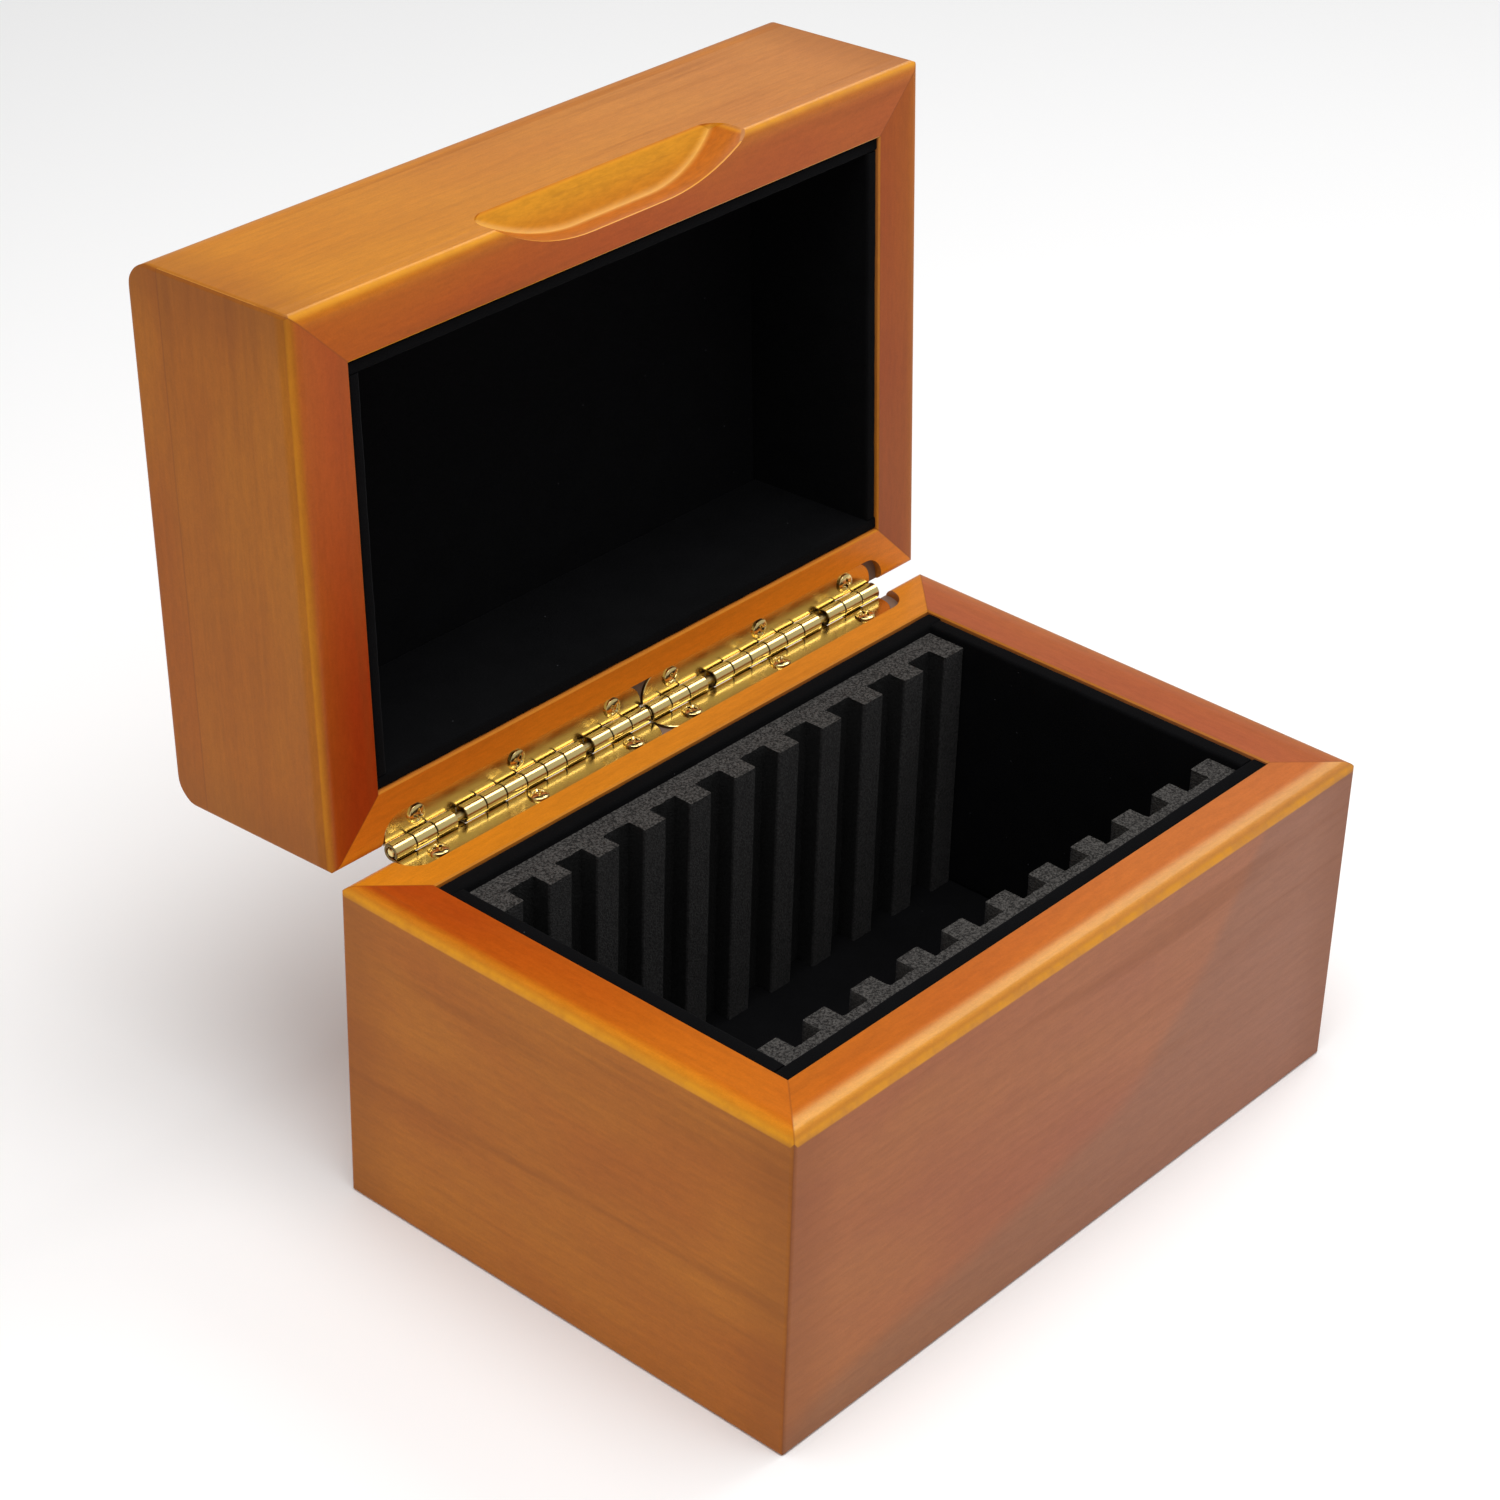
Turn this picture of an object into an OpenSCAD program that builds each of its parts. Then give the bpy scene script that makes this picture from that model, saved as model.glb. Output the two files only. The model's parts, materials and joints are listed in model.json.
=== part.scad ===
// Hinged wooden display case for a row of upright coin holders.
// The base holds two foam racks in a flocked lining; the lid swings on two strip hinges.
// Millimetres. The origin is the centre of the base's underside, X runs along the hinge,
// the front faces -Y and +Z is up. The lid is drawn open, resting on the hinges' stops.

/* [Case] */
// Width of the case along the hinge
case_w = 206; // [190:1:260]
// Depth of the case from front to back
case_d = 136.4; // [122:0.2:170]
// Height of the base up to its rim
base_h = 86.5; // [60:0.5:110]
// Thickness of the mitred boards of base and lid
board_t = 15.2; // [13:0.1:16]
// Radius of the rounded outer edge of both rims
rim_round_r = 2.5; // [1:0.1:4]
// Radius of the upright corners
corner_r = 1.2; // [0.5:0.1:4]
// Radius of the edge round the underside
foot_edge_r = 1; // [0.4:0.1:2.5]
// Small chamfer on the inner edge of both rims
inner_chamfer = 0.4; // [0.3:0.1:1.2]

/* [Bottom panel] */
// Thickness of the bottom panel
bottom_t = 9.5; // [5:0.5:12]
// How far the bottom panel reaches into the boards
bottom_rabbet = 6; // [3:0.5:9]

/* [Lid top] */
// Height of the lid's mitred frame, from its rim to the seam under the top panel
lid_frame_h = 43.1; // [34:0.1:60]
// Thickness of the top panel at the middle of its crown
top_panel_t = 10.9; // [9.5:0.1:16]
// How much the crown rises between its front and back edges
crown_rise = 1.2; // [0.6:0.1:3]
// Radius of the crown's long front and back edges
crown_edge_r = 8; // [4:0.5:8.5]
// Radius of the crown's short side edges
crown_side_r = 2; // [1:0.1:4]

/* [Finger scoop] */
// How deep the scoop reaches into the lid's front board
scoop_depth = 8.6; // [4:0.1:11]
// Height of the scoop on the lid's front
scoop_h = 11.9; // [11:0.1:16]
// Height of the scoop's upright wall, under its sloping ceiling
scoop_wall_h = 6.1; // [2:0.1:9]
// Length of the scoop along the rim
scoop_l = 82; // [50:1:110]
// Length of the straight middle of the scoop
scoop_flat_l = 24; // [10:1:40]
// Radius of the scoop's upper corners, seen from the front
scoop_corner_r = 6; // [3:0.5:8]

/* [Lining] */
// Thickness of the flocked lining of the base
base_lining_t = 4.6; // [2:0.1:4.8]
// Thickness of the flocked lining of the lid
lid_lining_t = 3.6; // [2:0.1:5]
// Thickness of the flocked floor of the base
floor_lining_t = 3.6; // [2:0.1:6]
// How far the lining's edge lies below each rim
lining_drop = 0.8; // [0.4:0.1:2.5]

/* [Foam racks] */
// Number of slots
slot_count = 10; // [4:1:12]
// Width of one slot
slot_w = 8.7; // [5:0.1:10.5]
// Thickness of the rear rack behind its slots
rear_web_t = 5.7; // [3:0.1:9]
// Thickness of the front rack behind its slots
front_web_t = 3.6; // [3:0.1:9]
// Depth of the slots in both racks
slot_depth = 5.4; // [3:0.1:9]
// How far the top of the racks lies below the rim
rack_drop = 2.6; // [1:0.1:15]
// Gap between the racks and the lining
rack_gap = 0.3; // [0.2:0.1:0.8]

/* [Hinges] */
// Length of one hinge
hinge_l = 85.6; // [72:0.2:88]
// Gap between the two hinges
hinge_gap = 0.8; // [0.4:0.1:3]
// Radius of the barrel
barrel_r = 2.2; // [1.9:0.05:2.6]
// Thickness of the leaves
leaf_t = 0.8; // [0.6:0.05:0.9]
// Width of a leaf, from the barrel's axis to its front edge
leaf_w = 9; // [8.5:0.1:11]
// Radius of the leaf's front corners
leaf_corner_r = 6; // [2:0.1:8]
// Distance of the barrel's axis behind the back of the case
axis_offset = 1.5; // [1.3:0.05:2]
// Radius of the hinge pin
pin_r = 1.1; // [0.7:0.05:1.15]
// Length of each stretch of bare pin
pin_gap = 2.7; // [2:0.1:4]
// How far the lid swings from closed to its stop
open_angle = 92.9; // [80:0.1:110]
// Gap between the rims when the lid is closed
rim_gap = 0.3; // [0.2:0.05:0.6]
// How much longer the recess in each rim is than both hinges
recess_spare = 5; // [3:0.5:7]
// How far the recess lies to the right of the hinges' middle
recess_shift = 0.9; // [0:0.1:1.2]

/* [Screws] */
// Spacing of the three screws in a leaf
screw_pitch = 32.8; // [25:0.2:34]
// Radius of the screw head
screw_head_r = 2.6; // [2:0.1:2.8]
// Height of the domed screw head
screw_head_h = 1.1; // [0.6:0.05:1.15]
// Radius of the screw's shank
screw_r = 1.2; // [0.8:0.05:1.4]
// Length of the screw under its head
screw_l = 11; // [6:0.5:16]

/* [Hidden] */
$fn = 96;
cut = 1; // how far a cutting solid reaches past the surface it cuts
half_w = case_w / 2;
half_d = case_d / 2;
cavity_w = case_w - 2 * board_t;
cavity_d = case_d - 2 * board_t;
lid_h = lid_frame_h + top_panel_t;

// Running and seating clearances
pin_clearance = 0.05; // pin in its knuckles, on the radius
knuckle_clearance = 0.35; // between neighbouring knuckles
notch_clearance = 0.2; // leaf's notched edge round the other leaf's knuckles
stop_clearance = 0.15; // between the two stop tongues when open
leaf_clearance = 0.3; // leaf in its recess
panel_clearance = 0.2; // bottom panel in its rabbet
hole_clearance = 0.15; // screw in its holes, on the radius

// The hinge axis lies level with the middle of the gap between the closed rims
hinge_y = half_d + axis_offset;
hinge_z = base_h + rim_gap / 2;
recess_depth = barrel_r - rim_gap / 2;
recess_l = 2 * hinge_l + hinge_gap + recess_spare;
screw_line = (barrel_r + leaf_w) / 2;

// Floor of the base and the space between its linings
floor_z = bottom_t + floor_lining_t;
rack_inset = board_t + base_lining_t + rack_gap;
rack_l = case_w - 2 * rack_inset;
tooth_w = (rack_l - slot_count * slot_w) / (slot_count + 1);
rack_h = base_h - rack_drop - floor_z;
rear_root_y = half_d - rack_inset - rear_web_t;
front_root_y = -half_d + rack_inset + front_web_t;

// Crown of the lid: one long arc, tangent to an edge arc at the front and at the back
crown_r = (half_d * half_d + crown_rise * crown_rise) / (2 * crown_rise);
edge_reach = half_d - crown_edge_r;
edge_z = lid_h - crown_r + sqrt(pow(crown_r - crown_edge_r, 2) - edge_reach * edge_reach);
tangent_y = edge_reach * crown_r / (crown_r - crown_edge_r);

// Finger scoop: the radius of its ends, seen from above, and the slope of its ceiling
scoop_reach = (scoop_l - scoop_flat_l) / 2;
scoop_end_r = (scoop_reach * scoop_reach + scoop_depth * scoop_depth) / (2 * scoop_depth);
scoop_slope = (scoop_h - scoop_wall_h) / scoop_depth;
scoop_outline_h = scoop_h + 0.05; // just clear of the ceiling, which ends on the lid's front

// Knuckles stand in three groups with bare pin between them
KNUCKLE_GROUPS = [3, 6, 3];
knuckle_count = KNUCKLE_GROUPS[0] + KNUCKLE_GROUPS[1] + KNUCKLE_GROUPS[2];
second_group = KNUCKLE_GROUPS[0];
third_group = KNUCKLE_GROUPS[0] + KNUCKLE_GROUPS[1];
knuckle_pitch = (hinge_l - 2 * pin_gap) / knuckle_count;
function knuckle_x(i) = i * knuckle_pitch
    + (i >= second_group ? pin_gap : 0) + (i >= third_group ? pin_gap : 0);
PIN_GAPS = [knuckle_x(second_group) - pin_gap, knuckle_x(third_group) - pin_gap];
BASE_KNUCKLES = [for (i = [0:2:knuckle_count - 1]) i];
LID_KNUCKLES = [for (i = [1:2:knuckle_count - 1]) i];
SCREW_XS = [for (i = [-1:1]) hinge_l / 2 + i * screw_pitch];

// Domed screw head and its cross recess
head_sphere_r = (screw_head_r * screw_head_r + screw_head_h * screw_head_h) / (2 * screw_head_h);
cross_l = screw_head_r + 0.3;
cross_w = 0.7;
cross_depth = 0.55;
screw_tip_l = 2.5; // length of the screw's point

WOOD = "#c5762f";
FLOCK = "#15161a";
FOAM = "#3a3c40";
BRASS = "#d9b65a";

// Extrusions along X and along Y, centred; a 2D shape's second axis becomes Z
module along_x(length) rotate([90, 0, 90]) linear_extrude(length, center = true) children();
module along_y(length) rotate([90, 0, 0]) linear_extrude(length, center = true) children();

// Rectangle centred on x = 0 from y = 0 up, with its own radius for the lower and upper corners
module rounded_outline(width, height, lower_r, upper_r) {
    translate([-width / 2 + lower_r, 0]) square([width - 2 * lower_r, lower_r]);
    translate([-width / 2 + upper_r, height - upper_r]) square([width - 2 * upper_r, upper_r]);
    translate([-width / 2, lower_r]) square([width, height - lower_r - upper_r]);
    for (side = [-1, 1]) {
        translate([side * (width / 2 - lower_r), lower_r]) circle(lower_r);
        translate([side * (width / 2 - upper_r), height - upper_r]) circle(upper_r);
    }
}

// Front-to-back outline of the lid: rounded rim below, long low crown above
module crown_outline() {
    translate([-half_d, rim_round_r]) square([case_d, edge_z - rim_round_r]);
    translate([-half_d + rim_round_r, 0]) square([case_d - 2 * rim_round_r, rim_round_r]);
    for (side = [-1, 1]) {
        translate([side * (half_d - rim_round_r), rim_round_r]) circle(rim_round_r);
        translate([side * edge_reach, edge_z]) circle(crown_edge_r);
    }
    intersection() {
        translate([-tangent_y, rim_round_r]) square([2 * tangent_y, lid_h - rim_round_r]);
        translate([0, lid_h - crown_r]) circle(crown_r, $fn = 720);
    }
}

module upright_corners(height)
    linear_extrude(height) translate([0, -half_d]) rounded_outline(case_w, case_d, corner_r, corner_r);

// Outer shape of the base, before it is hollowed
module base_block() intersection() {
    along_x(case_w) rounded_outline(case_d, base_h, foot_edge_r, rim_round_r);
    along_y(case_d) rounded_outline(case_w, base_h, foot_edge_r, rim_round_r);
    upright_corners(base_h);
}

// Outer shape of the lid with its rim at z = 0, before it is hollowed
module lid_block() intersection() {
    along_x(case_w) crown_outline();
    along_y(case_d) rounded_outline(case_w, lid_h, rim_round_r, crown_side_r);
    upright_corners(lid_h);
}

module box_from(width, depth, low, high)
    translate([-width / 2, -depth / 2, low]) cube([width, depth, high - low]);

// Funnel that breaks the inner edge of a rim at z = 0, widening upwards
module rim_funnel() {
    module funnel_profile(width) polygon([
        [-width / 2, -inner_chamfer], [width / 2, -inner_chamfer],
        [width / 2 + inner_chamfer + cut, cut], [-width / 2 - inner_chamfer - cut, cut]
    ]);
    intersection() {
        along_x(case_w) funnel_profile(cavity_d);
        along_y(case_d) funnel_profile(cavity_w);
    }
}

// Wedges between the 45 degree mitres: 0 front, 1 right, 2 back, 3 left
module mitre_wedge(side) {
    past = board_t + bottom_rabbet;
    outer_w = half_w + cut;
    outer_d = half_d + cut;
    inner_w = half_w - past;
    inner_d = half_d - past;
    corners = [[-1, -1], [1, -1], [1, 1], [-1, 1]];
    a = corners[side];
    b = corners[(side + 1) % 4];
    translate([0, 0, -cut]) linear_extrude(base_h + lid_h + 2 * cut) polygon([
        [a[0] * outer_w, a[1] * outer_d], [b[0] * outer_w, b[1] * outer_d],
        [b[0] * inner_w, b[1] * inner_d], [a[0] * inner_w, a[1] * inner_d]
    ]);
}

// Plan of a leaf or of its recess, with rounded front corners; y = 0 is the barrel's axis
module leaf_plan(length, width, radius) {
    translate([0, -width + radius]) square([length, width - radius]);
    translate([radius, -width]) square([length - 2 * radius, radius]);
    for (x = [radius, length - radius]) translate([x, -width + radius]) circle(radius);
}

// Shallow recess for both hinges; z = 0 is the rim, and the recess reaches up past it
module hinge_recess() {
    floor_width = leaf_w + leaf_clearance;
    translate([recess_shift - recess_l / 2, hinge_y, -recess_depth])
        linear_extrude(recess_depth + cut + rim_round_r)
            leaf_plan(recess_l, floor_width, leaf_corner_r + leaf_clearance);
}

// Pilot holes of both hinges' screws, running down from the recess
module pilot_holes()
    for (hinge = [-1, 1]) hinge_place(hinge) for (x = SCREW_XS)
        translate([x, hinge_y - screw_line, -recess_depth - screw_l - cut])
            cylinder(screw_l + 2 * cut, screw_r + hole_clearance, screw_r + hole_clearance);

// Moves a hinge, drawn from x = 0 on, to the left (-1) or right (1) half of the case
module hinge_place(side)
    translate([side < 0 ? -hinge_gap / 2 - hinge_l : hinge_gap / 2, 0, 0]) children();

// Turns what is drawn closed about the hinge axis, to where the lid rests open
module opened() translate([0, hinge_y, hinge_z]) rotate([-open_angle, 0, 0])
    translate([0, -hinge_y, -hinge_z]) children();

// Places what is drawn with the lid's rim at z = 0
module on_lid() opened() translate([0, 0, base_h + rim_gap]) children();

module base_board(side) difference() {
    intersection() {
        base_block();
        mitre_wedge(side);
    }
    box_from(cavity_w, cavity_d, -cut, base_h + cut);
    box_from(cavity_w + 2 * bottom_rabbet, cavity_d + 2 * bottom_rabbet, -cut, bottom_t);
    translate([0, 0, base_h]) {
        rim_funnel();
        hinge_recess();
        pilot_holes();
    }
}

module base_front_board() color(WOOD) base_board(0);

module base_right_board() color(WOOD) base_board(1);

module base_back_board() color(WOOD) base_board(2);

module base_left_board() color(WOOD) base_board(3);

module base_bottom_panel() color(WOOD)
    box_from(cavity_w + 2 * (bottom_rabbet - panel_clearance),
        cavity_d + 2 * (bottom_rabbet - panel_clearance), 0, bottom_t);

// Scoop for the fingers: an upright wall under a sloping ceiling.
// Seen from above, the wall runs out at both ends in an arc.
module finger_scoop() intersection() {
    along_x(scoop_l) translate([-half_d, 0]) polygon([
        [-cut, -cut], [scoop_depth + cut, -cut],
        [scoop_depth + cut, scoop_wall_h - cut * scoop_slope], [-cut, scoop_h + cut * scoop_slope]
    ]);
    linear_extrude(2 * (scoop_h + cut), center = true) {
        translate([-scoop_flat_l / 2, -half_d - cut]) square([scoop_flat_l, scoop_depth + cut]);
        for (side = [-1, 1])
            translate([side * scoop_flat_l / 2, scoop_depth - half_d - scoop_end_r])
                circle(scoop_end_r, $fn = 180);
    }
    along_y(2 * case_d) translate([0, -scoop_outline_h])
        rounded_outline(scoop_l, 2 * scoop_outline_h, scoop_corner_r, scoop_corner_r);
}

module lid_board(side) difference() {
    intersection() {
        lid_block();
        mitre_wedge(side);
        box_from(case_w, case_d, -cut, lid_frame_h);
    }
    box_from(cavity_w, cavity_d, -cut, lid_frame_h + cut);
    mirror([0, 0, 1]) {
        rim_funnel();
        hinge_recess();
        pilot_holes();
    }
}

module lid_front_board() color(WOOD) on_lid() difference() {
    lid_board(0);
    finger_scoop();
}

module lid_right_board() color(WOOD) on_lid() lid_board(1);

module lid_back_board() color(WOOD) on_lid() lid_board(2);

module lid_left_board() color(WOOD) on_lid() lid_board(3);

module lid_top_panel() color(WOOD) on_lid() intersection() {
    lid_block();
    box_from(case_w, case_d, lid_frame_h, lid_h + cut);
}

// Wall linings stand on the floor or hang from the ceiling, the side ones between the long ones
module long_lining(side, thickness, low, high)
    translate([-cavity_w / 2, side * (cavity_d / 2 - thickness / 2) - thickness / 2, low])
        cube([cavity_w, thickness, high - low]);

module side_lining(side, thickness, low, high)
    translate([side * (cavity_w / 2 - thickness / 2) - thickness / 2, -cavity_d / 2 + thickness, low])
        cube([thickness, cavity_d - 2 * thickness, high - low]);

module base_floor_lining() color(FLOCK) box_from(cavity_w, cavity_d, bottom_t, floor_z);

module base_front_lining() color(FLOCK)
    long_lining(-1, base_lining_t, floor_z, base_h - lining_drop);

module base_back_lining() color(FLOCK)
    long_lining(1, base_lining_t, floor_z, base_h - lining_drop);

module base_left_lining() color(FLOCK)
    side_lining(-1, base_lining_t, floor_z, base_h - lining_drop);

module base_right_lining() color(FLOCK)
    side_lining(1, base_lining_t, floor_z, base_h - lining_drop);

module lid_ceiling_lining() color(FLOCK) on_lid()
    box_from(cavity_w, cavity_d, lid_frame_h - lid_lining_t, lid_frame_h);

module lid_front_lining() color(FLOCK) on_lid()
    long_lining(-1, lid_lining_t, lining_drop, lid_frame_h - lid_lining_t);

module lid_back_lining() color(FLOCK) on_lid()
    long_lining(1, lid_lining_t, lining_drop, lid_frame_h - lid_lining_t);

module lid_left_lining() color(FLOCK) on_lid()
    side_lining(-1, lid_lining_t, lining_drop, lid_frame_h - lid_lining_t);

module lid_right_lining() color(FLOCK) on_lid()
    side_lining(1, lid_lining_t, lining_drop, lid_frame_h - lid_lining_t);

// Comb of foam: a web with teeth on its -Y side, which starts at the slots' roots, y = 0
module foam_comb(web_t) translate([-rack_l / 2, 0, floor_z]) linear_extrude(rack_h) {
    square([rack_l, web_t]);
    for (i = [0:slot_count])
        translate([i * (tooth_w + slot_w), -slot_depth]) square([tooth_w, slot_depth + web_t / 2]);
}

module rear_foam_rack() color(FOAM) translate([0, rear_root_y, 0]) foam_comb(rear_web_t);

module front_foam_rack() color(FOAM) translate([0, front_root_y, 0])
    mirror([0, 1, 0]) foam_comb(front_web_t);

// One hinge leaf under the barrel's axis, drawn from x = 0 on, with the knuckles of its own.
// In the bare stretches of pin a tongue runs on behind the pin to a mitre at the stop angle.
module hinge_leaf(knuckles) {
    plate_end = -sqrt(pow(barrel_r + notch_clearance, 2) - pow(barrel_r - leaf_t, 2));
    stop_slope = tan(open_angle / 2);
    stop_pull = stop_clearance / 2 / sin(open_angle / 2);
    difference() {
        union() {
            translate([0, 0, -barrel_r]) linear_extrude(leaf_t) intersection() {
                leaf_plan(hinge_l, leaf_w, leaf_corner_r);
                translate([0, -leaf_w]) square([hinge_l, leaf_w + plate_end]);
            }
            for (i = knuckles) translate([knuckle_x(i) + knuckle_clearance / 2, 0, 0]) {
                width = knuckle_pitch - knuckle_clearance;
                rotate([0, 90, 0]) cylinder(width, barrel_r, barrel_r);
                translate([0, plate_end - leaf_t, -barrel_r])
                    cube([width, leaf_t - plate_end, leaf_t]);
            }
            for (x = PIN_GAPS) translate([x + pin_gap / 2, 0, 0])
                along_x(pin_gap - 2 * knuckle_clearance) polygon([
                    [plate_end - leaf_t, -barrel_r],
                    [barrel_r / stop_slope - stop_pull, -barrel_r],
                    [(barrel_r - leaf_t) / stop_slope - stop_pull, leaf_t - barrel_r],
                    [plate_end - leaf_t, leaf_t - barrel_r]
                ]);
        }
        translate([-cut, 0, 0]) rotate([0, 90, 0])
            cylinder(hinge_l + 2 * cut, pin_r + pin_clearance, pin_r + pin_clearance);
        for (x = SCREW_XS) translate([x, -screw_line, -barrel_r - cut])
            cylinder(leaf_t + 2 * cut, screw_r + hole_clearance, screw_r + hole_clearance);
    }
}

// Three screws of a leaf under the barrel's axis
module leaf_screws() for (x = SCREW_XS)
    translate([x, -screw_line, leaf_t - barrel_r]) difference() {
        union() {
            intersection() {
                translate([0, 0, screw_head_h - head_sphere_r]) sphere(head_sphere_r);
                cylinder(screw_head_h + cut, screw_head_r, screw_head_r);
            }
            translate([0, 0, screw_tip_l - screw_l])
                cylinder(screw_l - screw_tip_l + cross_depth / 2, screw_r, screw_r);
            translate([0, 0, -screw_l]) cylinder(screw_tip_l, 0, screw_r);
        }
        for (angle = [0, 90]) rotate([0, 0, angle])
            translate([-cross_l / 2, -cross_w / 2, screw_head_h - cross_depth])
                cube([cross_l, cross_w, cross_depth + cut]);
    }

module on_axis() translate([0, hinge_y, hinge_z]) children();

module base_leaf(side) color(BRASS) hinge_place(side) on_axis() hinge_leaf(BASE_KNUCKLES);

module lid_leaf(side) color(BRASS) opened() hinge_place(side) on_axis()
    mirror([0, 0, 1]) hinge_leaf(LID_KNUCKLES);

module hinge_pin(side) color(BRASS) hinge_place(side) on_axis()
    rotate([0, 90, 0]) cylinder(hinge_l, pin_r, pin_r);

module base_screws(side) color(BRASS) hinge_place(side) on_axis() leaf_screws();

module lid_screws(side) color(BRASS) opened() hinge_place(side) on_axis()
    mirror([0, 0, 1]) leaf_screws();

base_front_board();
base_back_board();
base_left_board();
base_right_board();
base_bottom_panel();
base_floor_lining();
base_front_lining();
base_back_lining();
base_left_lining();
base_right_lining();
front_foam_rack();
rear_foam_rack();
base_leaf(-1);  // left_hinge_base_leaf
base_leaf(1);  // right_hinge_base_leaf
hinge_pin(-1);  // left_hinge_pin
hinge_pin(1);  // right_hinge_pin
base_screws(-1);  // left_hinge_base_screws
base_screws(1);  // right_hinge_base_screws
lid_front_board();
lid_back_board();
lid_left_board();
lid_right_board();
lid_top_panel();
lid_ceiling_lining();
lid_front_lining();
lid_back_lining();
lid_left_lining();
lid_right_lining();
lid_leaf(-1);  // left_hinge_lid_leaf
lid_leaf(1);  // right_hinge_lid_leaf
lid_screws(-1);  // left_hinge_lid_screws
lid_screws(1);  // right_hinge_lid_screws
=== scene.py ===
# Coin display case, open: stained boards, black flocked linings, foam racks and brass hinges.
# Lengths are metres in Blender; the settings and helpers below name them in millimetres where they say so.

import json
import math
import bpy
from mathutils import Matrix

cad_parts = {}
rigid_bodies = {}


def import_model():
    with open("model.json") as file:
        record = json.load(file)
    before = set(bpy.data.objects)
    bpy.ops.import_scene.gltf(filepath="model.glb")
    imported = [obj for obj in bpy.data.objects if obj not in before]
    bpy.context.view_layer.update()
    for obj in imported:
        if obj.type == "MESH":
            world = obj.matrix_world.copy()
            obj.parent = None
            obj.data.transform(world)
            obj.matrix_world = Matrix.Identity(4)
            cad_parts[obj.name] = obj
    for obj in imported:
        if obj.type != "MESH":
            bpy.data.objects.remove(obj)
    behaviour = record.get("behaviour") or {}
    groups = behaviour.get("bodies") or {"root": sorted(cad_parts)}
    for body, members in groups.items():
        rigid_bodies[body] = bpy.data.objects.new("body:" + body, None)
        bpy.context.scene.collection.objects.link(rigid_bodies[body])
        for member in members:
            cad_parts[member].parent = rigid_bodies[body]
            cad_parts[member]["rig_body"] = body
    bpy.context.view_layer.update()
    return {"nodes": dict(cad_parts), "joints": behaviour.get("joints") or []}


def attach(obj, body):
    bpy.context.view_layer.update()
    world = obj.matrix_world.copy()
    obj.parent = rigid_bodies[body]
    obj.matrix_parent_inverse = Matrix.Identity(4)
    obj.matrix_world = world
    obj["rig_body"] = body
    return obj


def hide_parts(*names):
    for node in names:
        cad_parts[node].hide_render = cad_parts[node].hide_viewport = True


bl_info = {
    "name": "Coin display case",
    "version": (1, 0, 0),
    "blender": (4, 5, 0),
    "location": "View3D > Sidebar > Display case",
    "description": "Finishes a hinged wooden coin case: wood, flocked linings, foam racks, brass hinges",
    "category": "Object",
}

from collections import namedtuple

import bmesh
import bpy
from bpy.props import FloatProperty, FloatVectorProperty, IntProperty, PointerProperty
from mathutils import Matrix, Vector, noise

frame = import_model()

MM = 0.001

# Cut and flocked surfaces wander the same way on each run
NOISE_SEED = 7
noise.seed_set(NOISE_SEED)

# The lid is drawn open; LID_OPEN takes a point of the closed lid to its open place
LID_JOINT = frame["joints"][0]
HINGE_AXIS = Vector(LID_JOINT["pos_m"])
OPEN_ANGLE = math.radians(max(LID_JOINT["range_deg"]))
LID_OPEN = (
    Matrix.Translation(HINGE_AXIS) @ Matrix.Rotation(-OPEN_ANGLE, 4, "X") @ Matrix.Translation(-HINGE_AXIS)
)


def closed_box(node):
    """Lowest and highest corners in millimetres of a CAD node, with the lid turned shut."""
    on_lid = frame["nodes"][node]["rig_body"] == "lid"
    turn = LID_OPEN.inverted() if on_lid else Matrix.Identity(4)
    points = [turn @ vertex.co / MM for vertex in frame["nodes"][node].data.vertices]
    low = Vector([min(point[axis] for point in points) for axis in range(3)])
    high = Vector([max(point[axis] for point in points) for axis in range(3)])
    return low, high


BASE_LOW, BASE_HIGH = closed_box("base_left_board")
LID_LOW, LID_HIGH = closed_box("lid_left_board")
HALF_W = -BASE_LOW.x
HALF_D = -closed_box("base_front_board")[0].y
LID_RIM_Z = LID_LOW.z
LID_SEAM_Z = LID_HIGH.z
BOARD_T = BASE_HIGH.x - BASE_LOW.x


def colour(name, description, value):
    """A colour setting with its default."""
    return FloatVectorProperty(
        name=name, description=description, default=value, subtype="COLOR", size=3, min=0.0, max=1.0
    )


def share(name, description, value):
    """A setting from 0 to 1 with its default."""
    return FloatProperty(
        name=name, description=description, default=value, subtype="FACTOR", min=0.0, max=1.0
    )


def power(name, description, value):
    """The power of a light in watts with its default."""
    return FloatProperty(name=name, description=description, default=value, unit="POWER")


def length(name, description, value):
    """A length setting in metres, its default given in millimetres."""
    return FloatProperty(name=name, description=description, default=value * MM, unit="LENGTH", min=0.0)


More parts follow.
